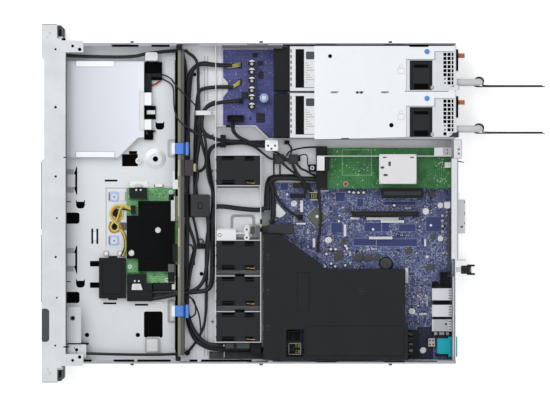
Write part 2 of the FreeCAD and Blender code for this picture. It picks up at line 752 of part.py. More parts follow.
def controller():
    shelf = block(("ctrl_left + 1", "ctrl_left + 81"), ("ctrl_front - ctrl_shelf", "ctrl_rear"),
                  ("bay_top", "shelf_top"))
    posts = []
    for across in ("ctrl_left + 6", "ctrl_left + 76"):
        for along in ("ctrl_front + 6", "ctrl_rear - 6"):
            posts.append(rod("z", (across, along), ("shelf_top", "ctrl_under"), "2.5"))
    wall = block(("ctrl_left - 9", "ctrl_left"), ("ctrl_front + 4", "ctrl_front + 29"), ("bay_top", "shelf_top"))
    arm = block(("ctrl_left - 1", "ctrl_left + 2"), ("ctrl_front + 4", "ctrl_front + 29"), ("bay_top", "shelf_top"))
    piece("controller_carrier", fuse([shelf, wall, arm] + posts))
    piece("controller_board", slab("controller", "XY", [
        ("ctrl_left", "ctrl_front"), ("ctrl_right", "ctrl_front"), ("ctrl_right", "ctrl_rear"),
        ("ctrl_left", "ctrl_rear")], ("ctrl_under", "ctrl_top")))
    plate = slab("heat_plate", "XY", [
        ("ctrl_left + 38", "ctrl_front + 0.5"), ("ctrl_right - 33", "ctrl_front + 0.5"),
        ("ctrl_right - 33", "ctrl_front + 16"), ("ctrl_right - 15.5", "ctrl_front + 16"),
        ("ctrl_right - 15.5", "ctrl_rear - 0.5"), ("ctrl_left + 18", "ctrl_rear - 0.5"),
        ("ctrl_left + 18", "ctrl_front + 16"), ("ctrl_left + 38", "ctrl_front + 16")],
        ("ctrl_top", "ctrl_top + heat_plate_thick"))
    groove = new_sketch(plate, "XY", "ctrl_top + heat_plate_thick")
    polygon(groove, [
        ("ctrl_left + 22", "ctrl_front + 19"), ("ctrl_left + 22 + heat_plate_groove", "ctrl_front + 19"),
        ("ctrl_left + 22 + heat_plate_groove", "ctrl_rear - 3"), ("ctrl_left + 22", "ctrl_rear - 3")])
    sunk = pocket(plate, groove, "heat_plate_thick - 3")
    row = plate.newObject("PartDesign::LinearPattern", "grooves")
    row.Originals = [sunk]
    row.Direction = (groove, ["H_Axis"])
    row.setExpression("Length", formula("ctrl_width - 42.5"))
    row.Occurrences = 14
    plate.Tip = row
    piece("controller_heat_plate", plate)
    left = "ctrl_right - 34"
    low = "ctrl_front - battery_depth - 1"
    cell = block((left, left + " + battery_width"), (low, low + " + battery_depth"),
                 ("bay_top", "bay_top + battery_height"))
    lid = block((left + " + 6", left + " + battery_width - 6"), (low + " + 5", low + " + battery_depth - 5"),
                ("bay_top + battery_height", "bay_top + battery_height + 1.2"))
    ears_of = []
    for edge in (left + " - 2.5", left + " + battery_width"):
        ears_of.append(block((edge, edge + " + 2.5"), (low + " + 12", low + " + 24"), ("bay_top", "bay_top + 4")))
    piece("controller_battery", fuse([cell, lid] + ears_of))
    plugs = []
    for x, y, high in (
            (("ctrl_left", "ctrl_left + 14"), ("ctrl_front + 4", "ctrl_front + 28"), 7),
            (("ctrl_right - 11.5", "ctrl_right"), ("ctrl_front + 1", "ctrl_front + 27"), 7),
            (("ctrl_left + 24", "ctrl_left + 35"), ("ctrl_front + 6", "ctrl_front + 12"), 6),
            (("ctrl_left + 9", "ctrl_left + 17"), ("ctrl_rear - 8", "ctrl_rear - 1"), 9),
            (("ctrl_right - 14", "ctrl_right - 2"), ("ctrl_rear - 9", "ctrl_rear - 0.5"), 10)):
        plugs.append(block(x, y, ("ctrl_top", "ctrl_top + %s" % high)))
    plugs.append(block(("ctrl_right + 0.8", "ctrl_right + 25"), ("ctrl_front + 1", "ctrl_front + 35"),
                       ("bay_top", "bay_top + 12")))
    piece("controller_plugs", group(plugs))


def backplane():
    wide = ("6.8 - inner", "inner - 9.8")
    board = block(wide, ("backplane_front", "backplane_rear"), ("floor_top", "backplane_high"))
    bar = block(wide, ("backplane_rear", "bar_rear"), ("floor_top + 2", "backplane_high - 0.5"))
    windows = []
    for low, high in (("-0.43 * case_width", "-0.25 * case_width"), ("-0.22 * case_width", "-0.15 * case_width"),
                      ("-0.06 * case_width", "0.07 * case_width"), ("0.11 * case_width", "0.2 * case_width"),
                      ("ctrl_right + 1", "ctrl_right + 27"), ("0.36 * case_width", "0.44 * case_width")):
        windows.append((low, high))
    through = ("backplane_front - 1", "bar_rear + 1")
    heights = ("floor_top + 4", "backplane_high - 6")
    holes = [block(window, through, heights) for window in windows]
    more = [block(window, through, heights) for window in windows]
    piece("drive_backplane", group([cut(board, holes), cut(bar, more)]))
    sockets = []
    for left in ("bay_left", "second_bay"):
        heart = left + " + 0.28 * bay_width"
        sockets.append(block((heart + " - 12", heart + " + 12"), ("backplane_front - 7", "backplane_front"),
                             ("backplane_high - 5", "backplane_high")))
    sockets.append(block(("bay_left", "bay_left + 20"), ("bar_rear", "bar_rear + 10"), ("floor_top + 3", "middle + 4")))
    sockets.append(block(("bay_left + 46", "bay_left + 77"), ("bar_rear", "bar_rear + 33"), ("floor_top", "middle - 7")))
    piece("drive_sockets", group(sockets))


def release_tabs():
    for name, left in (("left_release_tab", "optical_left + 111"), ("right_release_tab", "bay_right + 2")):
        wide = (left, left + " + tab_width")
        parts = [
            rod("x", ("bay_end - 1.7", "tab_axis"), wide, "tab_thick * 0.8"),
            block(wide, ("bay_end - 1.7", "bay_end + tab_reach"), ("tab_low", "tab_low + tab_thick")),
            block(wide, ("bay_end + tab_reach - 4", "bay_end + tab_reach"), ("tab_low", "tab_low + 5")),
        ]
        piece(name, fuse(parts))


# Middle

def fan_lefts():
    lefts = ["lone_left"]
    for row in range(3):
        lefts.append("group_left + %d * fan_pitch" % row)
    return lefts


def fan_cage():
    high = ("floor_top", "cage_high")
    parts = [
        block(("slip - inner", "cage_right"), ("fan_wall_front", "fan_wall_front + thin_sheet"), high),
        block(("lone_left - slip - thin_sheet", "cage_right"), ("fan_wall_rear", "fan_wall_end"), high),
    ]
    between = ("fan_wall_front + thin_sheet", "fan_wall_rear")
    for left in fan_lefts():
        edge = left + " - slip - thin_sheet"
        parts.append(block((edge, edge + " + thin_sheet"), between, high))
    for right in ("lone_right + slip", "fan_right + slip"):
        parts.append(block((right, right + " + thin_sheet"), between, high))
    divider = slab("divider", "XY", [
        ("divider", "fan_wall_front + thin_sheet"), ("divider + thin_sheet", "fan_wall_front + thin_sheet"),
        ("divider + thin_sheet", "divider_turn - 0.4"), ("psu_wall + thin_sheet", "divider_end"),
        ("psu_wall + thin_sheet", "socket_front"), ("psu_wall", "socket_front"),
        ("psu_wall", "divider_end + 0.4"), ("divider", "divider_turn")], high)
    parts.append(divider)
    holes = []
    through = [("fan_wall_front - 1", "fan_wall_front + thin_sheet + 0.2"), ("fan_wall_rear - 0.2", "fan_wall_end + 1")]
    for span in through:
        for left in fan_lefts():
            holes.append(block((left + " + 3", left + " + fan_size - 3"), span, ("fan_low + 3", "fan_high - 3")))
        holes.append(block(("lone_right + 0.11 * fan_room", "group_left - 0.27 * fan_room"), span,
                           ("floor_top + 4", "cage_high - 6")))
    holes.append(block(("12 - inner", "divider - 3"), through[0], ("floor_top + 4", "cage_high - 5")))
    holes.append(block(("divider + 4", "lone_left - 5"), through[0], ("floor_top + 4", "cage_high - 5")))
    piece("fan_cage", cut(fuse(parts), holes))


def fans():
    frames = []
    for row, left in enumerate(fan_lefts(), 1):
        heart = left + " + fan_size / 2"
        frame = block((left, left + " + fan_size"), ("fan_front", "fan_rear"), ("fan_low", "fan_high"))
        hole = rod("y", (heart, "fan_middle"), ("fan_front - 1", "fan_rear + 1"), "bore")
        hub = rod("y", (heart, "fan_middle"), ("fan_rear - 6", "fan_rear - 1"), "hub_radius")
        struts = []
        for x, z in (((heart + " - 1", heart + " + 1"), ("fan_low + 1", "fan_high - 1")),
                     ((left + " + 1", left + " + fan_size - 1"), ("fan_middle - 1", "fan_middle + 1"))):
            struts.append(block(x, ("fan_rear - 5", "fan_rear - 2"), z))
        bore = rod("y", (heart, "fan_middle"), ("fan_rear - 8", "fan_rear - 2.5"), "shaft_radius + 0.15")
        frames.append(cut(fuse([cut(frame, [hole]), hub] + struts), [bore]))
        piece("fan_rotor_%d" % row, rotor("fan_rotor_%d" % row, "bore - blade_gap", "fan_length - 12",
                                          "hub_radius", 7, (heart, "fan_front + 5", "fan_middle")))
    piece("fan_frames", group(frames))


def rotor(name, reach, length, hub, blades, spot):
    """A hub with a shaft and a ring of slanted blades, turning about Y."""
    body = doc.addObject("PartDesign::Body", name + "_body")
    body.Placement = Placement(Vector(), TURNS["y"])
    place(body, spot)
    disc = new_sketch(body, "XY", "0")
    circle(disc, ("0", "0"), hub)
    pad(body, disc, length)
    stem = new_sketch(body, "XY", "(%s) - 1" % length)
    circle(stem, ("0", "0"), "shaft_radius")
    pad(body, stem, "5")
    vane = new_sketch(body, "YZ", hub + " - 1.2")
    chord = "(%s) * 0.22" % reach
    polygon(vane, [
        ("-" + chord, "2"), ("1 - " + chord, "2"), (chord, "0.6 * (%s)" % length),
        (chord + " - 1", "0.6 * (%s)" % length)])
    blade = pad(body, vane, "0.97 * (%s) - (%s) + 1.2" % (reach, hub))
    ring = body.newObject("PartDesign::PolarPattern", "blades")
    ring.Originals = [blade]
    ring.Axis = (disc, ["N_Axis"])
    ring.Angle = 360
    ring.Occurrences = blades
    body.Tip = ring
    return body


def intrusion_switch():
    left = "group_left - slip - thin_sheet - 15"
    box = block((left, left + " + 14"), ("fan_front", "fan_front + 26"), ("floor_top", "rim - 8"))
    rail = block((left + " + 5", left + " + 8"), ("fan_front + 26", "fan_front + 38"), ("rim - 14", "rim - 11"))
    plate = block((left + " - 5", left + " + 14.5"), ("fan_front + 37", "fan_front + 44.5"), ("rim - 14", "rim - 11"))
    leg = block((left + " + 4", left + " + 9"), ("fan_front + 38", "fan_front + 43"), ("floor_top", "rim - 14"))
    holes = []
    for shift in (" - 0.5", " + 10.5"):
        holes.append(rod("z", (left + shift, "fan_front + 41"), ("rim - 16", "rim - 8"), 1.7))
    piece("intrusion_switch", cut(fuse([box, rail, plate, leg]), holes))


def power_area():
    board = slab("power", "XY", [
        ("power_left", "power_front"), ("power_left + 42", "power_front"), ("power_left + 48", "power_front + 8"),
        ("power_left + 54", "power_front"), ("divider - 1.5", "power_front"), ("divider - 1.5", "divider_turn + 0.6"),
        ("psu_wall - 2", "divider_end + 0.5"), ("psu_wall - 2", "psu_front - 2.5"),
        ("power_left", "psu_front - 2.5")], ("board_under", "board_top"))
    well = new_sketch(board, "XY", "board_top")
    circle(well, ("plunger_across", "plunger_along"), "plunger_stem + slip + 0.1")
    pocket(board, well, "board_thick + 1")
    piece("power_board", board)
    cans = []
    for row in range(6):
        across = "power_left + 19.3 + %d * capacitor_pitch" % row
        cans.append(rod("z", (across, "psu_front - 51.5"), ("board_top", "board_top + capacitor_height"),
                        "capacitor_radius"))
    piece("power_capacitors", group(cans))
    sockets = []
    for row in range(2):
        left = "psu_left + %d * psu_pitch" % row
        body = block((left + " + 1", left + " + psu_width - 1"), ("socket_front + 0.5", "socket_rear"),
                     ("board_top", "board_top + socket_height"))
        slot = block((left + " + 8", left + " + psu_width - 8"), ("socket_rear - 12", "socket_rear + 1"),
                     ("board_top + 10", "board_top + 14"))
        sockets.append(cut(body, [slot]))
    piece("power_sockets", group(sockets))
    spot = ("plunger_across", "plunger_along")
    knob = rod("z", spot, ("board_top + slip", "board_top + 12"), "plunger_radius")
    stem = rod("z", spot, ("floor_top + slip", "board_top + 1"), "plunger_stem")
    piece("release_plunger", fuse([knob, stem]))


# Power supplies

def psu_bay_cover():
    plate = block(("slip - hem_edge", "psu_wall + thin_sheet"), ("psu_front + cover_setback", "rear_inner - slip"),
                  ("cover_low", "cover_high"))
    wall = block(("psu_wall", "psu_wall + thin_sheet"), ("socket_front + slip", "rear_inner - slip"),
                 ("floor_top", "cover_low"))
    holes = []
    for row in range(2):
        left = "psu_left + %d * psu_pitch" % row
        deep = ("cover_low - 1", "cover_high + 1")
        holes.append(block((left + " + 18", left + " + psu_width - 1"), ("psu_fan_front - 4", "psu_fan_rear + 3"), deep))
        holes.append(block((left + " + 7.5", left + " + psu_width - 1"), ("psu_fan_rear + 4", "case_depth"), deep))
    for row in range(3):
        low = "psu_front + 55 + %d * 34" % row
        holes.append(block(("psu_left + psu_width + 0.7", "psu_left + psu_width + 2.3"), (low, low + " + 10"),
                           ("cover_low - 1", "cover_high + 1")))
    holes.append(rod("z", ("psu_left + 13", "psu_front + 53.5"), ("cover_low - 1", "cover_high + 1"), 2.7))
    holes.append(rod("z", ("psu_wall - 18", "psu_front + 136.5"), ("cover_low - 1", "cover_high + 1"), 3))
    piece("psu_bay_cover", cut(fuse([plate, wall]), holes))


def power_supplies():
    for row in (1, 2):
        left = "psu_left + %d * psu_pitch" % (row - 1)
        right = left + " + psu_width"
        shell = block((left, right), ("psu_front", "psu_rear"), ("psu_low", "psu_high"))
        tools = [block((left + " + psu_skin", right + " - psu_skin"), ("psu_front + psu_skin", "psu_rear - 1.5"),
                       ("psu_low + psu_skin", "psu_high - psu_skin"))]
        fan_left = right + " - psu_skin - slip - psu_fan_width"
        tools.append(block((fan_left + " - slip", right + " - psu_skin"),
                           ("psu_fan_front - slip", "psu_fan_rear + slip"), ("psu_high - psu_skin - 0.1", "psu_high + 1")))
        for step in range(3):
            for place_row in range(9):
                across = "%s + 8 + %d * 5.4" % (left, place_row)
                along = "psu_rear - 16 + %d * 5" % step
                tools.append(block((across, across + " + 3.6"), (along, along + " + 3.4"),
                                   ("psu_high - psu_skin - 0.1", "psu_high + 1")))
        for step in range(8):
            across = "%s + 5 + %d * 6.4" % (left, step)
            tools.append(block((across, across + " + 3"), ("psu_front - 1", "psu_front + psu_skin + 0.1"),
                               ("psu_low + 24", "psu_high - 4")))
        for step in range(3):
            up = "psu_low + 15 + %d * 5" % step
            tools.append(block((right + " - 18", right + " - 4"), ("psu_rear - 1.6", "psu_rear + 1"), (up, up + " + 3")))
        inlet = ((left + " + 4", left + " + 4 + inlet_width"), ("psu_low + 3", "psu_low + 3 + inlet_height"))
        tools.append(block(inlet[0], ("psu_rear - 1.6", "psu_rear + 1"), inlet[1]))
        latch_z = ("psu_high - 9.5", "psu_high - 5.5")
        tools.append(block((left + " + 9.9", left + " + 14.8 + psu_latch_travel"), ("psu_rear - 1.6", "psu_rear + 1"),
                           ("psu_high - 9.9", "psu_high - 5.1")))
        case = cut(shell, tools)
        socket = block(inlet[0], ("psu_rear - 20", "psu_rear + 2.5"), inlet[1])
        well = block((left + " + 7", left + " + 1 + inlet_width"), ("psu_rear - 16", "psu_rear + 3"),
                     ("psu_low + 6", "psu_low + inlet_height"))
        pins = []
        for shift, up in ((-7, 6), (0, 11), (7, 6)):
            across = "%s + 4 + inlet_width / 2 + %s" % (left, shift)
            pins.append(block((across + " - 1", across + " + 1"), ("psu_rear - 17", "psu_rear - 2"),
                              ("psu_low + 3 + %s" % up, "psu_low + 7 + %s" % up)))
        piece("psu_case_%d" % row, group([case, fuse([cut(socket, [well])] + pins)]))

        heart = fan_left + " + psu_fan_width / 2"
        frame = block((fan_left, fan_left + " + psu_fan_width"), ("psu_fan_front", "psu_fan_rear"),
                      ("psu_fan_low", "psu_fan_high"))
        hole = rod("y", (heart, "psu_fan_middle"), ("psu_fan_front - 1", "psu_fan_rear + 1"), "psu_bore")
        hub = rod("y", (heart, "psu_fan_middle"), ("psu_fan_rear - 6", "psu_fan_rear - 1"), "hub_radius - 1")
        strut = block((fan_left + " + 1", fan_left + " + psu_fan_width - 1"), ("psu_fan_rear - 5", "psu_fan_rear - 2"),
                      ("psu_fan_middle - 1", "psu_fan_middle + 1"))
        bore = rod("y", (heart, "psu_fan_middle"), ("psu_fan_rear - 8", "psu_fan_rear - 2.5"), "shaft_radius + 0.15")
        piece("psu_fan_%d" % row, cut(fuse([cut(frame, [hole]), hub, strut]), [bore]))
        piece("psu_rotor_%d" % row, rotor("psu_rotor_%d" % row, "psu_bore - blade_gap", "psu_fan_length - 9",
                                          "hub_radius - 1", 7, (heart, "psu_fan_front + 2", "psu_fan_middle")))

        stem = block((left + " + 10.3", left + " + 14.3"), ("psu_rear - 12", "psu_rear + slip"), latch_z)
        tab = block((left + " + 9.3", left + " + 15.3"), ("psu_rear + slip", "psu_rear + 11"),
                    ("psu_high - 11", "psu_high - 3"))
        piece("psu_latch_%d" % row, fuse([stem, tab]))

        across = left + " + 47.9 * psu_width / 60"
        low, high = "psu_low + 8", "psu_high - 8"
        bar = "psu_rear + handle_reach"
        grip = [rod("y", (across, low), ("psu_rear", bar), "handle_radius"),
                rod("y", (across, high), ("psu_rear", bar), "handle_radius"),
                rod("z", (across, bar), (low, high), "handle_radius"),
                ball((across, bar, low), "handle_radius"), ball((across, bar, high), "handle_radius")]
        piece("psu_handle_%d" % row, fuse(grip))

        wide = ("middle - strap_width / 2", "middle + strap_width / 2")
        loop = rod("z", (across, bar), wide, "handle_radius + slip + strap_thick")
        near = across + " + handle_radius + slip"
        tail = block((near, near + " + strap_thick"), (bar, "psu_rear + strap_reach"), wide)
        hole = rod("z", (across, bar), ("middle - strap_width", "middle + strap_width"), "handle_radius + slip")
        piece("psu_strap_%d" % row, cut(fuse([loop, tail]), [hole]))


# Boards and shroud

def port_places():
    """Left and right edges and top of every port on the rear edge."""
    places = []
    for inset in ("first_port", "second_port", "third_port"):
        right = "inner - " + inset
        places.append((right + " - port_width", right, "board_top + port_height"))
    right = "inner - serial_inset"
    places.append((right + " - serial_width", right, "board_top + serial_height"))
    return places


def system_board():
    piece("system_board", slab("system", "XY", [
        ("board_left", "board_front"), ("board_right", "board_front"), ("board_right", "board_rear"),
        ("card_left", "board_rear"), ("card_left", "board_step"), ("board_left", "board_step")],
        ("board_under", "board_top")))
    parts = []
    riser = ("card_right", "card_right + riser_width")
    parts.append(block(riser, ("card_rear - 94", "card_rear - 38"), ("board_top", "card_top + 4")))
    parts.append(block(("card_right + 31", "card_right + 38"), ("card_rear - 134", "card_rear - 44"),
                       ("board_top", "board_top + 11")))
    parts.append(block(("card_left - 2", "card_right"), ("board_step + 0.5", "card_front"), ("board_top", "card_top + 6")))
    for row in range(4):
        heart = "memory_first + %d * memory_pitch" % row
        body = block((heart + " - 3.3", heart + " + 3.3"), ("memory_front - 4", "memory_rear + 4"),
                     ("board_top", "board_top + 8"))
        ends = []
        for low, high in (("memory_front - 4", "memory_front - 0.6"), ("memory_rear + 0.6", "memory_rear + 4")):
            ends.append(block((heart + " - 2.2", heart + " + 2.2"), (low, high), ("board_top", "board_top + 20")))
        slot = block((heart + " - memory_thick / 2 - slip", heart + " + memory_thick / 2 + slip"),
                     ("memory_front - 0.4", "memory_rear + 0.4"), ("memory_low - slip", "board_top + 22"))
        parts.append(cut(fuse([body] + ends), [slot]))
    parts.append(block(("inner - 31.5", "inner - 20.5"), ("board_rear - 33", "board_rear - 24"),
                       ("board_top", "board_top + 10")))
    parts.append(block(("shroud_right - 38", "shroud_right - 24"), ("duct_front + 34", "duct_front + 51"),
                       ("board_top", "board_top + 14")))
    parts.append(block(("shroud_right - 22", "shroud_right - 6"), ("duct_front + 34", "duct_front + 51"),
                       ("board_top", "board_top + 14")))
    parts.append(block(("card_right + 6", "card_right + 15"), ("board_step - 8", "board_step + 2"),
                       ("board_top", "board_top + 9")))
    parts.append(block(("card_right + 7", "card_right + 13"), ("board_step - 35", "board_step - 14"),
                       ("board_top", "board_top + 10")))
    piece("board_sockets", group(parts))
    half_size = "processor_size / 2"
    piece("processor", fuse([
        block(("sink_middle - " + half_size, "sink_middle + " + half_size),
              ("sink_along - " + half_size, "sink_along + " + half_size), ("board_top", "board_top + 4")),
        block(("sink_middle - 19", "sink_middle + 19"), ("sink_along - 19", "sink_along + 19"),
              ("board_top + 4", "sink_low"))]))
    low, high = "sink_middle - sink_width / 2", "sink_middle + sink_width / 2"
    sink = slab("heat_sink", "XY", [
        (low, "sink_along - sink_length / 2"), (high, "sink_along - sink_length / 2"),
        (high, "sink_along + sink_length / 2"), (low, "sink_along + sink_length / 2")],
        ("sink_low", "sink_low + sink_base"))
    fin_sketch = new_sketch(sink, "XY", "sink_low + sink_base")
    polygon(fin_sketch, [
        (low, "sink_along - sink_length / 2"), (low + " + fin_thick", "sink_along - sink_length / 2"),
        (low + " + fin_thick", "sink_along + sink_length / 2"), (low, "sink_along + sink_length / 2")])
    fin = pad(sink, fin_sketch, "sink_high - sink_low - sink_base")
    row = sink.newObject("PartDesign::LinearPattern", "fins")
    row.Originals = [fin]
    row.Direction = (fin_sketch, ["H_Axis"])
    row.setExpression("Length", formula("sink_width - fin_thick"))
    row.Occurrences = 24
    sink.Tip = row
    piece("heat_sink", sink)
    modules = []
    for row in range(4):
        heart = "memory_first + %d * memory_pitch" % row
        modules.append(block((heart + " - memory_thick / 2", heart + " + memory_thick / 2"),
                             ("memory_front", "memory_rear"), ("memory_low", "memory_low + memory_height")))
    piece("memory_modules", group(modules))


def air_shroud():
    skin = "shroud_skin"
    edge = [
        ("group_left - 9", "duct_front"), ("group_left - 9", "duct_front + 21"),
        ("shroud_left - 11", "duct_front + 73"), ("shroud_left", "duct_front + 83"),
        ("shroud_left", "shroud_rear"), ("shroud_split", "shroud_rear"), ("shroud_split", "shroud_rear + 4"),
        ("shroud_right", "shroud_rear + 4"), ("shroud_right", "duct_front"),
    ]
    shell = slab("shroud", "XY", edge, ("shroud_low", "shroud_high"))
    inside = [
        ("group_left - 9 + " + skin, "duct_front - 5"), ("group_left - 9 + " + skin, "duct_front + 20.4"),
        ("shroud_left - 9.6", "duct_front + 71.8"), ("shroud_left + " + skin, "duct_front + 82.3"),
        ("shroud_left + " + skin, "shroud_rear + 10"), ("shroud_right - " + skin, "shroud_rear + 10"),
        ("shroud_right - " + skin, "duct_front - 5"),
    ]
    hollow = slab("shroud_room", "XY", inside, ("shroud_low - 1", "shroud_high - shroud_skin"))
    ridge = block(("shroud_split + 5", "shroud_right - 6"), ("duct_front + 58", "shroud_rear - 2"),
                  ("shroud_high", "shroud_high + 1.5"))
    window = block(("shroud_right - 41", "shroud_right - 4"), ("duct_front + 31", "duct_front + 55"),
                   ("shroud_high - 5", "shroud_high + 5"))
    recess = block(("shroud_left + 4", "shroud_left + 56"), ("duct_front + 46", "duct_front + 62"),
                   ("shroud_high - 0.5", "shroud_high + 1"))
    piece("air_shroud", cut(fuse([cut(shell, [hollow]), ridge]), [window, recess]))


def expansion():
    card = slab("card", "XY", [
        ("card_left", "card_front + slip"), ("card_right", "card_front + slip"), ("card_right", "card_rear"),
        ("card_left", "card_rear")], ("card_low", "card_top"))
    piece("expansion_card", card)
    wall = block(("card_left + 11", "card_left + 12"), ("card_front + 1", "card_rear - 1"), ("card_top", "hem_under - 2"))
    ledge = block(("card_left + 9", "card_left + 49"), ("card_rear - 98", "card_rear - 48"),
                  ("hem_under - 3", "hem_under - 2"))
    lip = block(("card_left + 11", "card_left + 31"), ("card_front - 14", "card_front + 2"), ("hem_under - 3", "hem_under - 2"))
    foot = block(("card_left", "card_left + 11"), ("card_rear - 24", "card_rear"), ("hem_under - 3", "hem_under - 2"))
    holes = []
    for along in (-88, -73, -58):
        holes.append(block(("card_left + 18", "card_left + 40"), ("card_rear + (%s) - 1.5" % along,
                                                               "card_rear + (%s) + 1.5" % along),
                           ("hem_under - 4", "hem_under - 1")))
    piece("expansion_bracket", cut(fuse([wall, ledge, lip, foot]), holes))


def rear_ports():
    parts = []
    for row, (left, right, high) in enumerate(port_places()):
        front = "case_depth - port_depth" if row < 3 else "case_depth - 24"
        rear = "case_depth + 0.4" if row < 3 else "case_depth + 3"
        shell = block((left, right), (front, rear), ("board_top", high))
        well = block((left + " + 1.5", right + " - 1.5"), ("case_depth - 14", rear + " + 1"),
                     ("board_top + 2", high + " - 1.5"))
        parts.append(cut(shell, [well]))
    piece("rear_ports", group(parts))


# Cables and screws

def cables():
    lane = "bar_rear + "
    seat = "floor_top + slip + thick_cable / 2"
    routes = [
        ("front_cable", [("-half + 16", "2", "24"), ("-half + 20.5", "bay_end - 63", "24"),
                         ("-half + 12", "bay_end - 34", "22"), ("-half + 9.5", "bay_end + 3.6", "18")]),
        ("thin_cable", [("half - 14", "14", "24"), ("half - 9.5", "bay_end - 46", "23"),
                        ("half - 12", "bay_end + 3.8", "20")]),
        ("power_cable", [("power_left + 22", "power_front + 12", "14"), ("power_left + 21", "fan_wall_front - 3", "14"),
                         ("power_left + 17", lane + "24", "14"), ("power_left + 34", lane + "6", "14"),
                         ("bay_left - 1", lane + "5", "14")]),
        ("power_cable", [("power_left + 51", "power_front + 14", "12"), ("power_left + 50", lane + "27", "12"),
                         ("power_left + 62", lane + "14", "11"), ("bay_left + 45.5", lane + "14", "9")]),
        ("power_cable", [("power_left + 70", "power_front + 22", "16"), ("power_left + 71", "fan_wall_front - 4", "18"),
                         ("power_left + 88", lane + "21", "24"), ("ctrl_right + 3", lane + "20", "24"),
                         ("ctrl_right + 13", lane + "8", "20"), ("ctrl_right + 13", "bay_end - 8", "15"),
                         ("ctrl_right + 14", "ctrl_front + 36.2", "11")]),
        ("power_cable", [("psu_wall + 3.9", "psu_front - 20", "11"), ("psu_wall + 4.5", "fan_wall_front + 4", "12"),
                         ("psu_wall + 16", lane + "30", "20"), ("ctrl_right - 4", lane + "30", "20")]),
        ("thick_cable", [("bay_right + 15", "bar_rear + 3.6", "12"), ("bay_right + 36", "bar_rear + 10", "12"),
                         ("cage_right + 5", "fan_wall_front - 14", "14"),
                         ("cage_right + 9", "fan_wall_front + 12", "16"), ("cage_right + 9.5", "fan_rear - 8", "16")]),
        ("thick_cable", [("board_left + 38", "fan_wall_end + 6.5", seat), ("board_left - 3", "fan_wall_end + 6.5", seat),
                         ("board_left - 9", "board_front + 6", seat), ("board_left - 8", "board_step - 28", seat)]),
    ]
    solids = [tube(points, diameter) for diameter, points in routes]
    harness = doc.addObject("Part::Feature", "harness")
    harness.Shape = Part.makeCompound(solids)
    piece("cable_harness", harness)


def screws():
    heads = []
    for across, along in (
            ("board_left + 28", "board_front + 32"), ("card_right + 70", "board_step + 16"),
            ("card_right + 23", "board_rear - 16"), ("card_right + 68", "board_rear - 16"),
            ("inner - 68", "board_rear - 54"), ("inner - 15", "board_rear - 40")):
        heads.append(rod("z", (across, along), ("board_top", "board_top + 2.2"), "3.8"))
    for across, along in (("ctrl_left + 57.4", "ctrl_front + 43"), ("ctrl_left + 88.6", "ctrl_front + 7")):
        heads.append(rod("z", (across, along), ("ctrl_top + heat_plate_thick", "ctrl_top + heat_plate_thick + 1.6"), "3.8"))
    for along in (10, 70, 130):
        heads.append(rod("z", ("psu_left + 3", "psu_front + cover_setback + %s" % along),
                         ("cover_high", "rim"), "2.2"))
    piece("screws", group(heads))


for make in (chassis_pan, drive_bay_floor, front_frame, ears, ear_latches, power_button, info_tag, rear_panel,
             rear_latch, optical_bay, drive_blanks, controller, backplane, release_tabs, fan_cage, fans,
             intrusion_switch, power_area, psu_bay_cover, power_supplies, system_board, air_shroud, expansion,
             rear_ports, cables, screws):
    make()
doc.recompute()

faults = [thing.Label for thing in doc.Objects if {"Invalid", "Error"} & set(thing.State)]
for thing in PIECES:
    if thing.Shape.isNull() or not thing.Shape.isValid() or not thing.Shape.Solids:
        faults.append(thing.Label)
if faults:
    raise RuntimeError("faulty shapes: " + ", ".join(faults))
os.makedirs("parts", exist_ok=True)
for thing in PIECES:
    thing.Shape.exportStep("parts/%s.step" % thing.Label)
print("%d sub-parts written" % len(PIECES))
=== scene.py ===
import math
import random

import bpy
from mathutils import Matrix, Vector


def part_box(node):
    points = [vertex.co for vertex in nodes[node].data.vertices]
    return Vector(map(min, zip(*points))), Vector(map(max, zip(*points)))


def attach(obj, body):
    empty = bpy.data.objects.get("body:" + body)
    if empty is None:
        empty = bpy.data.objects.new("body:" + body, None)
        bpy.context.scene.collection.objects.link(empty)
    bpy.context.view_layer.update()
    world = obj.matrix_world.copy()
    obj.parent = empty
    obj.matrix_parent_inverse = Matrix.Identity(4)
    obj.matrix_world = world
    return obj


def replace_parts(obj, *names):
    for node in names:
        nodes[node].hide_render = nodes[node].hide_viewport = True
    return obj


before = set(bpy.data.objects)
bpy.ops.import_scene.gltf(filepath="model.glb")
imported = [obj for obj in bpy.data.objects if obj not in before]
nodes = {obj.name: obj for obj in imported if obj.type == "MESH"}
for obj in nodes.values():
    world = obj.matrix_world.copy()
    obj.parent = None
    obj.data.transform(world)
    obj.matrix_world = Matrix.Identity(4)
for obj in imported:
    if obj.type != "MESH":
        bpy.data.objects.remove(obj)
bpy.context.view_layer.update()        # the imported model, in its own frame and at its real size
mm = 0.001
print("frame loaded,", len(nodes), "nodes")

# camera and image
photoView = {
    "image": (550, 405),             # pixels
    "pitch": 1.35,                   # millimetres of the case per pixel
    "earBackColumn": 57.7,           # pixel column of the ears' back plane
    "middleRow": 203.2,              # pixel row of the case's middle
    "plane": 30,                     # height where the pitch holds
    "height": 4200,                  # camera above that plane
}


def setCamera(view):
    wide, tall = view["image"]
    data = bpy.data.cameras.new("overhead")
    data.sensor_fit = "HORIZONTAL"
    data.sensor_width = 36
    data.lens = data.sensor_width * view["height"] / (wide * view["pitch"])
    data.clip_end = 100
    camera = bpy.data.objects.new("overhead", data)
    along = (wide / 2 - view["earBackColumn"]) * view["pitch"]
    across = (tall / 2 - view["middleRow"]) * view["pitch"]
    camera.location = Vector((across, along, view["plane"] + view["height"])) * mm
    camera.rotation_euler = (0, 0, math.pi / 2)      # the rear of the case lies to the right
    bpy.context.collection.objects.link(camera)
    bpy.context.scene.camera = camera


setCamera(photoView)
bpy.context.scene.view_settings.view_transform = "Standard"


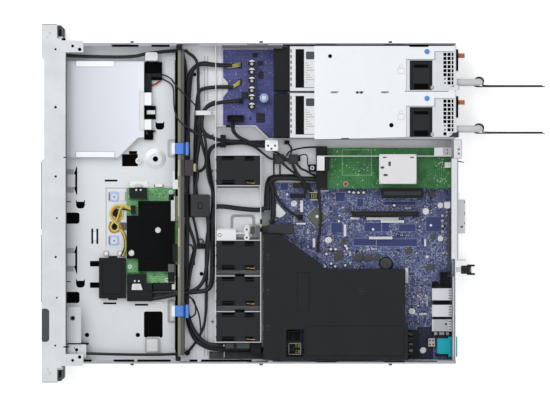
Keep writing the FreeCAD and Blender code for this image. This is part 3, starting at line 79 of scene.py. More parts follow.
# finishes: sockets with operators, and one maker of nodes
class Wire:
    def __init__(self, finish, socket):
        self.finish, self.socket = finish, socket

    def __add__(self, other):
        return self.finish.sum("ADD", self, other)

    __radd__ = __add__

    def __sub__(self, other):
        return self.finish.sum("SUBTRACT", self, other)

    def __rsub__(self, other):
        return self.finish.sum("SUBTRACT", other, self)

    def __mul__(self, other):
        return self.finish.sum("MULTIPLY", self, other)

    __rmul__ = __mul__

    def __gt__(self, other):
        return self.finish.sum("GREATER_THAN", self, other)

    def __lt__(self, other):
        return self.finish.sum("LESS_THAN", self, other)


class Nodes:
    def __init__(self, owner):
        owner.use_nodes = True
        self.tree = owner.node_tree
        self.tree.nodes.clear()

    def feed(self, socket, value):
        if isinstance(value, Wire):
            self.tree.links.new(value.socket, socket)
        elif hasattr(value, "__len__") and len(value) == 3 and socket.type == "RGBA":
            socket.default_value = (*value, 1)
        else:
            socket.default_value = value

    def node(self, kind, settings=None, sockets=None, out=0):
        made = self.tree.nodes.new(kind)
        for key, value in (settings or {}).items():
            setattr(made, key, value)
        for key, value in (sockets or {}).items():
            self.feed(made.inputs[key], value)
        return Wire(self, made.outputs[out])

    def end(self, kind, wire):
        self.tree.links.new(wire.socket, self.tree.nodes.new(kind).inputs[0])

    def sum(self, operation, one, two):
        return self.node("ShaderNodeMath", {"operation": operation}, {0: one, 1: two})

    def mix(self, mask, one, two):
        return self.node("ShaderNodeMix", {"data_type": "RGBA"}, {0: mask, 6: one, 7: two}, 2)

    def band(self, value, low, high):                               # 0 below low, 1 above high
        return self.node("ShaderNodeMapRange", {"clamp": True},
                         {"Value": value, "From Min": low, "From Max": high})

    def seen(self):                        # rays from the camera, from reflections and through glass
        names = ("Is Camera Ray", "Is Glossy Ray", "Is Transmission Ray")
        one, two, three = (self.node("ShaderNodeLightPath", out=name) for name in names)
        return self.band(one + two + three, 0, 1)


class Finish(Nodes):
    def __init__(self, name):
        self.material = bpy.data.materials.new(name)
        super().__init__(self.material)
        self.shader = self.tree.nodes.new("ShaderNodeBsdfPrincipled")
        self.end("ShaderNodeOutputMaterial", Wire(self, self.shader.outputs[0]))
        self.place = self.node("ShaderNodeTexCoord", out="Object")

    def stretch(self, factors):
        return self.node("ShaderNodeVectorMath", {"operation": "MULTIPLY"}, {0: self.place, 1: factors})

    def noise(self, size, detail=2, rough=0.5, factors=None):      # size of a spot in millimetres
        place = self.stretch(factors) if factors else self.place
        return self.node("ShaderNodeTexNoise", None,
                         {"Vector": place, "Scale": 1000 / size, "Detail": detail, "Roughness": rough})

    def cells(self, size, out="Color", settings=None):
        return self.node("ShaderNodeTexVoronoi", settings, {"Vector": self.place, "Scale": 1000 / size}, out)

    def split(self, vector, axis):
        return self.node("ShaderNodeSeparateXYZ", None, {0: vector}, axis)

    def bump(self, height, depth, strength=1.0):                    # depth in millimetres
        return self.node("ShaderNodeBump", None, {"Height": height, "Distance": depth * mm,
                                                  "Strength": strength})

    def set(self, **values):
        for name, value in values.items():
            words = "".join(" " + c if c.isupper() else c for c in name)
            self.feed(self.shader.inputs[words.title()], value)
        return self.material


def tint(code):                                                     # an sRGB code as linear light
    parts = [int(code[i:i + 2], 16) / 255 for i in (0, 2, 4)]
    return tuple(c / 12.92 if c <= 0.04045 else ((c + 0.055) / 1.055) ** 2.4 for c in parts)


def shade(colour, factor):
    return tuple(min(1, c * factor) for c in colour)


grainAlong = (1, 0.04, 1)                  # streaks of the rolled sheet, drawn out from front to rear


def sheetMetal(name, code, base, metal, crystal, cloudSize, vary):
    f = Finish(name)
    colour = tint(code)
    flake = f.split(f.cells(crystal), 0)                            # zinc crystals
    cloud = f.noise(cloudSize, 3, 0.6)
    streak = f.noise(0.7, 2, 0.6, grainAlong)
    tone = 0.12 * flake + 0.5 * cloud + 0.38 * streak
    body = f.mix(f.band(tone, 0.35, 0.65), shade(colour, 1 - vary), shade(colour, 1 + vary))
    # painted light: paler towards the rear, a painted sheen on the optical bracket and the strip's painted
    # shadow fading on the tag shelf
    if name in paintedLightRamp:
        front, rear, pale = paintedLightRamp[name]
        body = f.mix(0.9 * f.band(f.split(f.place, 1), front * mm, rear * mm), body, tint(pale))
    rough = base + 0.02 * (flake - 0.5) + 0.1 * (streak - 0.5)
    return f.set(baseColor=body, roughness=rough, metallic=metal,
                 normal=f.bump(0.9 * streak + 0.1 * flake, 0.02, 0.2))


def moulded(name, code, rough, size, depth, gloss):
    f = Finish(name)
    colour = tint(code)
    grain = f.noise(size, 3, 0.65)
    cloud = f.noise(26, 2, 0.5)
    tone = 0.55 * grain + 0.45 * cloud
    body = f.mix(f.band(tone, 0.3, 0.7), shade(colour, 0.88), shade(colour, 1.12))
    f.shader.inputs["Specular IOR Level"].default_value = gloss
    return f.set(baseColor=body, roughness=rough + 0.16 * (grain - 0.5), normal=f.bump(grain, 0.04, depth))


def solderMask(name, look):
    f = Finish(name)
    colour, line = tint(look["colour"]), tint(look["line"])
    cell = f.node("ShaderNodeVectorMath", {"operation": "SNAP"}, {0: f.place, 1: (look["patch"] * mm,) * 3})
    cell = f.node("ShaderNodeVectorMath", {"operation": "MULTIPLY"}, {0: cell, 1: (1, 1, 0)})
    draw = f.node("ShaderNodeTexWhiteNoise", {"noise_dimensions": "3D"}, {"Vector": cell}, "Value")
    upright = draw > 0.5
    across, along = f.split(f.place, 0), f.split(f.place, 1)
    lane = upright * across + (1 - upright) * along
    stripe = f.sum("PINGPONG", lane, look["trace"] * mm) * (1000 / look["trace"])
    tracks = (stripe > 0.55) * (f.noise(look["patch"] * 1.7, 1) > 0.47)
    vias = f.cells(look["via"], "Distance") < 0.2
    cloud = f.noise(look["cloud"], 2)
    body = f.mix(f.band(cloud, 0.35, 0.65), shade(colour, look["deep"]), shade(colour, 1.15))
    body = f.mix(look["ink"] * tracks, body, line)
    body = f.mix(0.7 * vias, body, shade(line, 1.35))
    # tiny pads and prints
    grain = f.split(f.cells(look["speck"], "Color", {"distance": "CHEBYCHEV"}), 0)
    busy = f.band(f.noise(look["patch"] * 1.3, 2), 0.4, 0.5) * look["busy"]
    body = f.mix(busy * (grain > 0.72), body, tint(look["dot"]))
    body = f.mix(busy * (grain < 0.04), body, tint("8C8478"))
    body = f.mix(busy * (grain > 0.55) * (grain < 0.66), body, shade(colour, 0.35))
    f.shader.inputs["Specular IOR Level"].default_value = 0.25
    return f.set(baseColor=body, roughness=0.34 + 0.12 * (1 - tracks), coatWeight=0.08, coatRoughness=0.2,
                 normal=f.bump(tracks + vias, 0.03, 0.5))


def jacket(name, look):
    f = Finish(name)
    colour = tint(look["colour"])
    scuff = f.noise(2.2, 3, 0.6)
    rib = f.noise(0.6, 1)
    body = f.mix(f.band(scuff, 0.35, 0.7), shade(colour, 0.75), shade(colour, 1.35))
    f.shader.inputs["Specular IOR Level"].default_value = 0.3
    return f.set(baseColor=body, roughness=look["rough"] + 0.2 * (scuff - 0.5),
                 normal=f.bump(rib, 0.05, 0.35))


def weave(name, look):
    f = Finish(name)
    colour = tint(look["colour"])
    pitch = look["pitch"] * mm
    along, up = f.split(f.place, 1), f.split(f.place, 2)
    warp = f.sum("PINGPONG", along, pitch) * (1 / pitch)
    weft = f.sum("PINGPONG", up, pitch) * (1 / pitch)
    cloth = warp * (1 - weft) + weft * (1 - warp)
    fuzz = f.noise(0.5, 2, 0.7)
    body = f.mix(f.band(0.7 * cloth + 0.3 * fuzz, 0.2, 0.75), shade(colour, 0.6), shade(colour, 1.5))
    return f.set(baseColor=body, roughness=0.86 + 0.1 * (fuzz - 0.5), sheenWeight=0.3,
                 normal=f.bump(cloth + 0.4 * fuzz, 0.12, 0.6))


def paper(name, look):
    f = Finish(name)
    colour = tint(look["colour"])
    fibre = f.noise(1.4, 4, 0.7)
    body = f.mix(f.band(fibre, 0.3, 0.7), shade(colour, 0.94), shade(colour, 1.03))
    f.shader.inputs["Specular IOR Level"].default_value = 0.08
    return f.set(baseColor=body, roughness=look["rough"] + 0.1 * (fibre - 0.5),
                 normal=f.bump(fibre, 0.01, 0.2))


steel = {                   # colour, roughness, metal, size of crystals, size of clouds, variation
    "panSteel": ("DCDEE2", 0.42, 0.7, 6, 60, 0.04),
    "baySteel": ("D6D9DC", 0.42, 0.55, 5, 90, 0.02),
    "coverSteel": ("EAEDF0", 0.4, 0.5, 5, 110, 0.015),
    "cageSteel": ("C6C8CB", 0.42, 0.7, 6, 40, 0.05),
    "opticalSteel": ("C0C3CA", 0.42, 0.55, 5, 120, 0.02),
    "ledgeSteel": ("DAD9DC", 0.42, 0.5, 5, 60, 0.02),
    "shelfSteel": ("AEB1B4", 0.45, 0.5, 5, 60, 0.03),
    # painted shadow of the strip on the tag shelf
    "cornerSteel": ("94979A", 0.45, 0.5, 5, 60, 0.03),
    # grey steel, also a painted shade on hems, rims and edges
    "hemSteel": ("A0A2A5", 0.45, 0.5, 5, 40, 0.06),
    "driveSteel": ("B8BABD", 0.36, 0.85, 5, 30, 0.05),
    "psuSteel": ("D6D8DC", 0.36, 0.65, 8, 50, 0.03),
    "portShell": ("CDCFD4", 0.36, 0.6, 4, 20, 0.02),
    "bareAluminium": ("C9CBCE", 0.34, 0.9, 4, 25, 0.04),
    "processorLid": ("A9A9AC", 0.3, 0.95, 5, 25, 0.04),
    "screwSteel": ("C4C6CA", 0.3, 0.85, 2, 10, 0.06),
    # dark steel, also a painted shade along folds, edges and walls
    "barSteel": ("4F4D52", 0.5, 0.3, 5, 40, 0.06),
}
paintedLightRamp = {                    # painted light: paler from one place along the case to another, and to which colour; a painted sheen on the optical bracket, the strip's painted shadow on the tag shelf
    "opticalSteel": (20, 112, "DCDFE8"),
    "cornerSteel": (13, 27, "C6C9CC"),
}
plastic = {                 # colour, roughness, size of grain, depth of bump, gloss
    "stripPaint": ("E1E4E7", 0.45, 1.2, 0.12, 0.22),
    "latchPlastic": ("4B4D50", 0.5, 0.8, 0.3, 0.22),
    "buttonPlastic": ("8F9498", 0.35, 0.6, 0.15, 0.22),
    "tagPlastic": ("4C4F52", 0.5, 0.8, 0.3, 0.22),
    "trayPlastic": ("26272A", 0.5, 0.8, 0.3, 0.22),
    "blackPlastic": ("1B1D1F", 0.5, 0.9, 0.3, 0.14),
    "shroudPlastic": ("222426", 0.52, 1.1, 0.45, 0.14),
    "rotorPlastic": ("1B1C1F", 0.42, 0.8, 0.3, 0.22),
    # white plastic, also painted highlights on domes and can rims
    "switchPlastic": ("ECEEEF", 0.42, 0.9, 0.15, 0.22),
    "bluePlastic": ("5E92E6", 0.4, 0.8, 0.2, 0.22),
    "deepBlue": ("1C3F94", 0.42, 0.8, 0.2, 0.22),
    "orangePlastic": ("B4663C", 0.45, 0.8, 0.3, 0.22),
    # grey plastic, also a painted shade under parts and in gaps
    "handlePlastic": ("6D6F73", 0.5, 0.8, 0.3, 0.22),
    "tealPlastic": ("1DAFC2", 0.4, 0.8, 0.2, 0.22),
    "paleCream": ("B8BC98", 0.5, 1, 0.2, 0.22),
    "oliveEdge": ("858A69", 0.5, 1.4, 0.4, 0.22),
    # flat black: painted shade in holes, gaps and recesses, and a few black parts
    "blackFilm": ("060607", 0.6, 1.6, 0.15, 0.03),
    "blackAnodised": ("121314", 0.6, 0.6, 0.2, 0.03),
    "gripPlastic": ("D0D1D3", 0.42, 0.8, 0.2, 0.22),
    "plugGrey": ("3A3B3D", 0.5, 0.8, 0.3, 0.14),
    "plugBrown": ("474246", 0.5, 0.8, 0.3, 0.14),
    "chipStone": ("63665A", 0.45, 0.6, 0.15, 0.22),
    "connectorTan": ("7C7668", 0.5, 0.6, 0.2, 0.22),
    "slotBrown": ("332D26", 0.5, 0.6, 0.3, 0.1),
    "contactOlive": ("9B9A4C", 0.42, 0.6, 0.2, 0.22),
    "boardShade": ("23273A", 0.5, 0.8, 0.15, 0.22),
    "stepViolet": ("7A86C0", 0.45, 0.8, 0.1, 0.22),
    "chipBlack": ("2B2D31", 0.42, 0.5, 0.2, 0.22),
    "ceramicGrey": ("B9B6B4", 0.5, 0.4, 0.3, 0.22),
    "ceramicTan": ("A58B6C", 0.5, 0.4, 0.3, 0.22),
    "inkWhite": ("D9DCE4", 0.55, 0.5, 0.1, 0.22),
    "plungerBlue": ("8DB4F2", 0.4, 0.8, 0.15, 0.22),
    "thumbWhite": ("DCE6FA", 0.42, 0.8, 0.15, 0.22),
    "paleBlue": ("B9CDF3", 0.4, 0.8, 0.15, 0.22),
    "fanPlastic": ("27292B", 0.5, 0.9, 0.3, 0.14),
    "chipOlive": ("4E5150", 0.42, 0.5, 0.2, 0.22),
    "chipNavy": ("3A4272", 0.45, 0.6, 0.15, 0.22),
    "boardInk": ("8F97BE", 0.5, 0.5, 0.1, 0.22),
    "cardInk": ("9CCB9C", 0.5, 0.5, 0.1, 0.22),
    "wireYellow": ("DED663", 0.42, 0.7, 0.3, 0.22),
    "wireRed": ("A8504C", 0.42, 0.7, 0.3, 0.22),
    "wireOrange": ("D08F48", 0.42, 0.7, 0.3, 0.22),
}
board = {
    "controllerGreen": {"colour": "66AE6A", "line": "8CC98C", "patch": 9, "trace": 1.4, "via": 3.2,
                        "busy": 0.15},
    "cardGreen": {"colour": "2C6A34", "line": "4F8F55", "patch": 10, "trace": 1.3, "via": 3.6, "busy": 0.04},
    "powerBlue": {"colour": "5A5EA0", "line": "7C82BC", "patch": 14, "trace": 2.4, "via": 5, "busy": 0.06,
                  "ink": 0.16, "deep": 0.6, "cloud": 70},
    "boardNavy": {"colour": "454D78", "line": "727DA8", "patch": 8, "trace": 1.2, "via": 3, "busy": 0.75,
                  "dot": "A8B1D0"},
}
looks = {}
for name, row in steel.items():
    looks[name] = sheetMetal(name, *row)
for name, row in plastic.items():
    looks[name] = moulded(name, *row)
for name, look in board.items():
    looks[name] = solderMask(name, {"speck": 1.3, "ink": 0.5, "deep": 0.8, "cloud": 30, "dot": "9AA6CC",
                                    **look})
looks["jacketBlack"] = jacket("jacketBlack", {"colour": "1E2022", "rough": 0.5})
looks["jacketGrey"] = jacket("jacketGrey", {"colour": "3A3C3F", "rough": 0.5})
looks["strapWeave"] = weave("strapWeave", {"colour": "232426", "pitch": 0.8})
looks["labelWhite"] = paper("labelWhite", {"colour": "EEF0F1", "rough": 0.5})
looks["labelBlack"] = paper("labelBlack", {"colour": "0C0C0E", "rough": 0.6})
print("finishes made,", len(looks))


# the frame's own nodes take their finishes
nodeLooks = {
    "panSteel": ["chassis_pan"],
    "baySteel": ["drive_bay_floor", "controller_carrier"],
    "opticalSteel": ["optical_bracket"],
    "coverSteel": ["psu_bay_cover"],
    "cageSteel": ["fan_cage", "expansion_bracket", "rear_panel"],
    "stripPaint": ["front_frame", "left_ear", "right_ear"],
    "latchPlastic": ["left_latch", "right_latch"],
    "buttonPlastic": ["power_button"],
    "tagPlastic": ["info_tag"],
    "trayPlastic": ["disc_tray", "drive_blank_left", "drive_blank_right"],
    "driveSteel": ["optical_drive"],
    "controllerGreen": ["controller_board"],
    "cardGreen": ["expansion_card"],
    "powerBlue": ["power_board"],
    "boardNavy": ["system_board"],
    "blackPlastic": ["controller_battery", "controller_plugs", "drive_sockets", "power_sockets",
                     "board_sockets", "power_capacitors", "fan_frames", "psu_fan_1", "psu_fan_2"],
    "shroudPlastic": ["air_shroud", "rear_latch"],
    "rotorPlastic": ["fan_rotor_1", "fan_rotor_2", "fan_rotor_3", "fan_rotor_4", "psu_rotor_1",
                     "psu_rotor_2"],
    "blackAnodised": ["controller_heat_plate"],
    "bareAluminium": ["heat_sink"],
    "processorLid": ["processor"],
    "portShell": ["rear_ports"],
    "switchPlastic": ["intrusion_switch"],
    "psuSteel": ["psu_case_1", "psu_case_2"],
    "bluePlastic": ["left_release_tab", "right_release_tab"],
    "paleBlue": ["release_plunger"],
    "orangePlastic": ["psu_latch_1", "psu_latch_2"],
    "gripPlastic": ["psu_handle_1", "psu_handle_2"],
    "oliveEdge": ["drive_backplane"],
    "screwSteel": ["screws"],
    "chipBlack": ["memory_modules"],
}
for look, names in nodeLooks.items():
    for name in names:
        data = nodes[name].data
        data.materials.clear()
        data.materials.append(looks[look])


def patchLook(name, look, test):          # a second finish on the faces whose middle passes the test
    data = nodes[name].data
    data.materials.append(looks[look])
    for face in data.polygons:
        if test(*(c / mm for c in face.center)):
            face.material_index = len(data.materials) - 1


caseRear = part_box("chassis_pan")[1].y / mm
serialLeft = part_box("rear_ports")[1].x / mm - 27.5
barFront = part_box("drive_backplane")[0].y / mm + 2.3
patchLook("rear_ports", "tealPlastic", lambda x, y, z: x > serialLeft)
patchLook("rear_ports", "portShell", lambda x, y, z: x > serialLeft and y > 533)
patchLook("screws", "coverSteel", lambda x, y, z: x < -203 and y > 330)
patchLook("drive_backplane", "barSteel", lambda x, y, z: y > barFront)
# painted shade: the top of the pan's hem darkened, and its outer side walls dark
patchLook("chassis_pan", "hemSteel", lambda x, y, z: z > 42.2)
patchLook("chassis_pan", "barSteel", lambda x, y, z: abs(x) > 217)
# painted shadow on the cover's edge along the partition wall
patchLook("psu_bay_cover", "hemSteel", lambda x, y, z: x > -89.6)
patchLook("rear_panel", "psuSteel", lambda x, y, z: z > 40)
patchLook("drive_sockets", "baySteel", lambda x, y, z: -44 < x < -19)
# painted shadow: the tag shelf darkened where the strip's shadow falls, paler towards the rear
patchLook("front_frame", "cornerSteel", lambda x, y, z: 35 < z < 37 and 138 < x < 190)
for name in ("psu_case_1", "psu_case_2"):
    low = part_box(name)[0].x / mm
    patchLook(name, "blackPlastic", lambda x, y, z, low=low: y > caseRear + 1.2 and x < low + 36)


edges = {"weldGap": 0.01, "segments": 2, "bevelAngle": 40, "sharpAngle": 32}


def softEdges(name, width):               # a small round on every hard edge of a node
    item = nodes[name]
    weld = item.modifiers.new("weld", "WELD")
    weld.merge_threshold = edges["weldGap"] * mm
    bevel = item.modifiers.new("bevel", "BEVEL")
    bevel.width = width * mm
    bevel.segments = edges["segments"]
    bevel.limit_method = "ANGLE"
    bevel.angle_limit = math.radians(edges["bevelAngle"])
    bevel.harden_normals = False


for name, width in {"air_shroud": 0.8, "left_latch": 0.5, "right_latch": 0.5,
                    "controller_battery": 0.8, "psu_handle_1": 0.3, "psu_handle_2": 0.3}.items():
    softEdges(name, width)
print("nodes dressed")


# shapes: faces gathered in millimetres, one piece at a time
def spots(count, radius, middle):          # points round a circle
    turns = [2 * math.pi * i / count for i in range(count)]
    return [(middle[0] + radius * math.cos(t), middle[1] + radius * math.sin(t)) for t in turns]


def corners(x, y, grow=0):                 # a rectangle, larger or smaller on every side
    return [(x[0] - grow, y[0] - grow), (x[1] + grow, y[0] - grow),
            (x[1] + grow, y[1] + grow), (x[0] - grow, y[1] + grow)]


def rounded(x, y, radius, steps=4):        # a rectangle with round corners
    bends = [(x[1] - radius, y[1] - radius, 0), (x[0] + radius, y[1] - radius, 1),
             (x[0] + radius, y[0] + radius, 2), (x[1] - radius, y[0] + radius, 3)]
    outline = []
    for cx, cy, quarter in bends:
        for i in range(steps + 1):
            turn = (quarter + i / steps) * math.pi / 2
            outline.append((cx + radius * math.cos(turn), cy + radius * math.sin(turn)))
    return outline


def inset(outline, by):                    # every edge moved inwards
    made = []
    count = len(outline)
    for i, (x, y) in enumerate(outline):
        before, after = outline[i - 1], outline[(i + 1) % count]
        one = Vector((x - before[0], y - before[1])).normalized()
        two = Vector((after[0] - x, after[1] - y)).normalized()
        normal = Vector((-one.y - two.y, one.x + two.x))
        reach = by / max(0.3, 1 + one.dot(two)) if normal.length else 0
        made.append((x + normal.x * reach, y + normal.y * reach))
    return made


turns = {"z": lambda a, b, c: (a, b, c), "y": lambda a, b, c: (a, -c, b), "x": lambda a, b, c: (c, a, b)}


class Shape:
    def __init__(self, name):
        self.name, self.points, self.faces, self.looks, self.marks = name, [], [], [], []

    def add(self, points, faces, look):
        first = len(self.points)
        if look not in self.looks:
            self.looks.append(look)
        self.points += points
        self.faces += [[first + i for i in face] for face in faces]
        self.marks += [self.looks.index(look)] * len(faces)

    def loft(self, rings, look, turn="z"):             # rings of as many points, capped at both ends
        count = len(rings[0])
        points = [turns[turn](*p) for ring in rings for p in ring]
        faces = [list(range(count))[::-1], [len(points) - count + i for i in range(count)]]
        for level in range(len(rings) - 1):
            for i in range(count):
                a, b = level * count + i, level * count + (i + 1) % count
                faces.append([a, b, b + count, a + count])
        self.add(points, faces, look)

    def prism(self, outline, z, look, chamfer=0.3, turn="z"):
        area = sum(a[0] * b[1] - b[0] * a[1] for a, b in zip(outline, outline[1:] + outline[:1]))
        outline = outline if area > 0 else outline[::-1]
        ends = [(outline, z[0]), (outline, z[1] - chamfer), (inset(outline, chamfer), z[1])]
        self.loft([[(a, b, level) for a, b in line] for line, level in ends], look, turn)

    def block(self, x, y, z, look, chamfer=0.3):
        self.prism(corners(x, y), z, look, chamfer)

    def pad(self, x, y, z, look, radius, chamfer=0.3):
        self.prism(rounded(x, y, radius), z, look, chamfer)

    def rod(self, middle, z, radius, look, chamfer=0.3, sides=20, turn="z"):
        self.prism(spots(sides, radius, middle), z, look, chamfer, turn)

    def tube(self, outer, inner, z, look, turn="z"):   # a wall between two outlines of as many points
        count = len(outer)
        lines = [(outer, z[0]), (outer, z[1]), (inner, z[1]), (inner, z[0])]
        points = [turns[turn](a, b, level) for line, level in lines for a, b in line]
        faces = []
        for level in range(4):
            for i in range(count):
                a, b = level * count + i, level * count + (i + 1) % count
                c, d = (level + 1) % 4 * count + (i + 1) % count, (level + 1) % 4 * count + i
                faces.append([a, b, c, d])
        self.add(points, faces, look)

    def ring(self, middle, z, outer, inner, look, sides=24):
        self.tube(spots(sides, outer, middle), spots(sides, inner, middle), z, look)

    def rim(self, x, y, z, look, wall, radii, turn="z"):         # round corners outside and inside
        inner = (x[0] + wall, x[1] - wall), (y[0] + wall, y[1] - wall)
        self.tube(rounded(x, y, radii[0]), rounded(*inner, radii[1]), z, look, turn)

    def tray(self, x, y, z, look, wall=1.0, floor=2.0):          # an open socket with a floor
        lines = []
        for by, level in ((0, z[0]), (0, z[1]), (wall, z[1]), (wall, z[0] + floor)):
            lines.append([(a, b, level) for a, b in corners(x, y, -by)])
        self.loft(lines, look)

    def brick(self, x, y, z, look):
        self.loft([[(a, b, level) for a, b in corners(x, y)] for level in z], look)

    def done(self, body):
        mesh = bpy.data.meshes.new(self.name)
        mesh.from_pydata([Vector(p) * mm for p in self.points], [], self.faces)
        for look in self.looks:
            mesh.materials.append(looks[look])
        mesh.polygons.foreach_set("material_index", self.marks)
        mesh.polygons.foreach_set("use_smooth", [True] * len(self.faces))
        mesh.set_sharp_from_angle(angle=math.radians(edges["sharpAngle"]))
        item = bpy.data.objects.new(self.name, mesh)
        bpy.context.collection.objects.link(item)
        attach(item, body)
        return item


def leads(name, routes, diameter, look, body="server"):    # wires through listed points
    data = bpy.data.curves.new(name, "CURVE")
    data.dimensions = "3D"
    data.bevel_depth = diameter / 2 * mm
    data.bevel_resolution = 3
    data.resolution_u = 8
    data.use_fill_caps = True
    for route in routes:
        line = data.splines.new("NURBS")
        line.points.add(len(route) - 1)
        for point, spot in zip(line.points, route):
            point.co = (*(c * mm for c in spot), 1)
        line.order_u = 3
        line.use_endpoint_u = True
    data.materials.append(looks[look])
    item = bpy.data.objects.new(name, data)
    bpy.context.collection.objects.link(item)
    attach(item, body)
    return item


# cables: the harness in the channel behind the backplane
harness = {
    "front": (4.6, [[(-200, 2, 24), (-195.5, 95, 24), (-204, 124, 22), (-206.5, 161.6, 18)]]),
    "thin": (3.8, [[(202, 14, 24), (206.5, 112, 23), (204, 161.8, 20)]]),
    "power": (5.2, [
        [(-186.5, 235, 14), (-187.5, 210, 14), (-191.5, 193, 14), (-177, 175, 14), (-59, 174.7, 14)],
        [(-157.5, 237, 12), (-158.5, 197.7, 12), (-146.5, 184.7, 11), (-12.5, 184.7, 9)],
        [(-138.5, 245, 16), (-137.5, 209, 18), (-120.5, 191.7, 24), (-76, 190.6, 23), (-58, 186, 20.4),
         (-14, 185.6, 20.4), (2, 191, 22), (14, 202, 24.6), (30, 203.6, 25.6), (60, 203, 25.6),
         (98, 200, 25.6), (112, 193, 24), (121, 178.7, 20), (120, 150, 15), (121, 127.4, 11)],
        [(-83.1, 293.5, 11), (-82.5, 217, 12), (-71, 202, 14), (-50, 203.5, 13), (-30, 206.8, 12.6),
         (-14, 209.4, 12.6), (6, 209.6, 12.6), (24, 206.4, 13), (44, 202, 17), (60, 200.7, 20),
         (90, 200.7, 20), (104, 200.7, 20)]]),
    "thick": (6.4, [
        [(151, 174.3, 12), (180, 178.8, 12), (196.4, 200, 14), (197.4, 225, 16), (197.1, 265.3, 16)],
        [(10, 281.1, 4.7), (-31, 281.1, 4.7), (-37, 293.6, 4.7), (-36, 320.8, 4.7)]]),
}
for kind, (diameter, routes) in harness.items():
    cable = leads("cables_" + kind, routes, diameter, "jacketBlack")
    if kind == "power":
        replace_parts(cable, "cable_harness")
print("cables laid")


# hook and loop straps on the two handles
strapBand = {"thick": 1.2, "wrapThick": 2.2, "width": 14, "overlap": 76, "reach": 658, "ease": 0.9,
             "grip": 4.6}


def strap(number):
    low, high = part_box("psu_strap_%d" % number)
    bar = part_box("psu_handle_%d" % number)
    across = (bar[0].x + bar[1].x) / 2 / mm
    turnAt = bar[1].y / mm - strapBand["grip"]                                     # middle of the grip
    radius = high.x / mm - across - strapBand["thick"] / 2
    line = [(across + radius, strapBand["reach"])]
    line += [(across + radius, turnAt + 85 - 5 * i) for i in range(17)]
    for i in range(25):                                              # round the grip
        angle = -math.radians(i * 12)
        wrap = radius + strapBand["ease"] * min(1, i / 5, (24 - i) / 5)
        line.append((across + wrap * math.cos(angle), turnAt + wrap * math.sin(angle)))
    inner = across + radius - strapBand["thick"] * 1.15              # then back along the tail
    line += [(across + 0.7 * radius, turnAt + 0.98 * radius), (inner - 0.3, turnAt + 1.6 * radius)]
    line += [(inner, turnAt + 2.4 * radius + 4 * i) for i in range(int(strapBand["overlap"] / 4))]
    shape = Shape("strap_%d" % number)
    middle = (low.z + high.z) / 2 / mm
    points, faces = [], []
    for i, (x, y) in enumerate(line):
        ahead, back = line[min(i + 1, len(line) - 1)], line[max(i - 1, 0)]
        heading = Vector((ahead[0] - back[0], ahead[1] - back[1])).normalized()
        thick = strapBand["wrapThick"] if 20 < i < 40 else strapBand["thick"]
        side = Vector((-heading.y, heading.x)) * thick / 2
        for sign, up in ((1, 1), (1, -1), (-1, -1), (-1, 1)):
            points.append((x + sign * side.x, y + sign * side.y, middle + up * strapBand["width"] / 2))
    for i in range(len(line) - 1):
        for j in range(4):
            a, b = 4 * i + j, 4 * i + (j + 1) % 4
            faces.append([a, b, b + 4, a + 4])
    faces += [[0, 1, 2, 3], [len(points) - k for k in (1, 2, 3, 4)]]
    shape.add(points, faces, "strapWeave")
    item = shape.done("power_supply_%d" % number)
    length = sum(math.dist(one, two) for one, two in zip(line, line[1:]))
    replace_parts(item, "psu_strap_%d" % number)
    length * mm


for number in (1, 2):
    strap(number)
print("straps looped")


# levels that pieces stand on
def top(node):
    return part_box(node)[1].z / mm


def low(node):
    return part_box(node)[0].z / mm


levels = {
    "pan": low("drive_bay_floor"), "bay": low("controller_carrier"),
    "carrier": low("controller_carrier") + 1,
    "control": top("controller_board"), "plate": top("controller_heat_plate"), "power": top("power_board"),
    "board": top("system_board"), "card": top("expansion_card"), "fan": top("fan_frames"),
    "supply": top("psu_case_1"), "cover": top("psu_bay_cover"), "cage": top("fan_cage"),
}


def rise(level, height, start=0):          # from start to height above a named level
    return levels[level] + start, levels[level] + height


# painted shade: a black sheet between the pan and the raised bay floor stands for the shade seen through its
# cut-outs
holeShade = {"x": (-209, 209), "y": (-2, 162.3), "gap": 0.1, "thick": 1.6}
shape = Shape("bay_hole_shade")
shape.pad(holeShade["x"], holeShade["y"], rise("pan", holeShade["thick"], holeShade["gap"]), "blackFilm", 4)
shape.done("server")

# cut-outs of the bay floor: lens slots, half-round louvres, rounded corners and spring fingers; the openings
# are flat black pieces, painted shade for the dark beneath
bayCuts = {
    "pitch": 107,                                                        # from one drive bay to the next
    "lens": ((-50, -11.1), (20.6, 24.8)), "fingers": ((-46.2, -38.8), (-22.6, -14.3)),
    "louvres": [(-4.4, 23.1), (103, 23.1), (-111.4, 131)], "louvreSize": (11.6, 12),
    "squares": [((12.7, 27.9), (5, 27.9), 3.2), ((120.4, 135.7), (5, 27.9), 3.2),
                ((147, 182.6), (115.3, 140.8), 2.8),
                ((34.4, 55.2), (43.9, 46.5), 0.6), ((34.4, 55.2), (50.7, 53.3), 0.6)],
    "covers": [((12.2, 28.3), (5, 30.3)), ((119.2, 136.2), (5, 30.3)), ((144.9, 183.2), (114.8, 142.6)),
               ((33, 56.2), (43.2, 55.6))],
    "slots": [((-32, -29.4), (62, 79.4)), ((-2.7, -1.5), (10.2, 16)), ((105.8, 107), (10.2, 16))],
}


def lens(x, y, steps=16):
    curve = []
    for i in range(steps + 1):
        swell = min(1, 1.45 * math.sin(math.pi * i / steps))
        curve.append((x[0] + (x[1] - x[0]) * i / steps, y[1] - 0.9 - (y[1] - y[0] - 0.9) * swell))
    return curve + [(x[1] - 2, y[1]), (x[0] + 2, y[1])]


def louvre(x, y, size):                      # a cup with two horns
    deep, wide = size
    cup = [(x + deep * 0.5 + deep * 0.5 * math.sin(t), y + wide / 2 - wide / 2 * math.cos(t) ** 0.6)
           for t in (i * math.pi / 16 for i in range(9))]
    cup += [(a, 2 * y + wide - b) for a, b in cup[::-1]]
    horns = [(x + 2.4, y + wide - 1.6), (x + 2.4, y + 1.6), (x, y + 0.6), (x, y)]
    return horns + cup + [(x, y + wide), (x, y + wide - 0.6)]


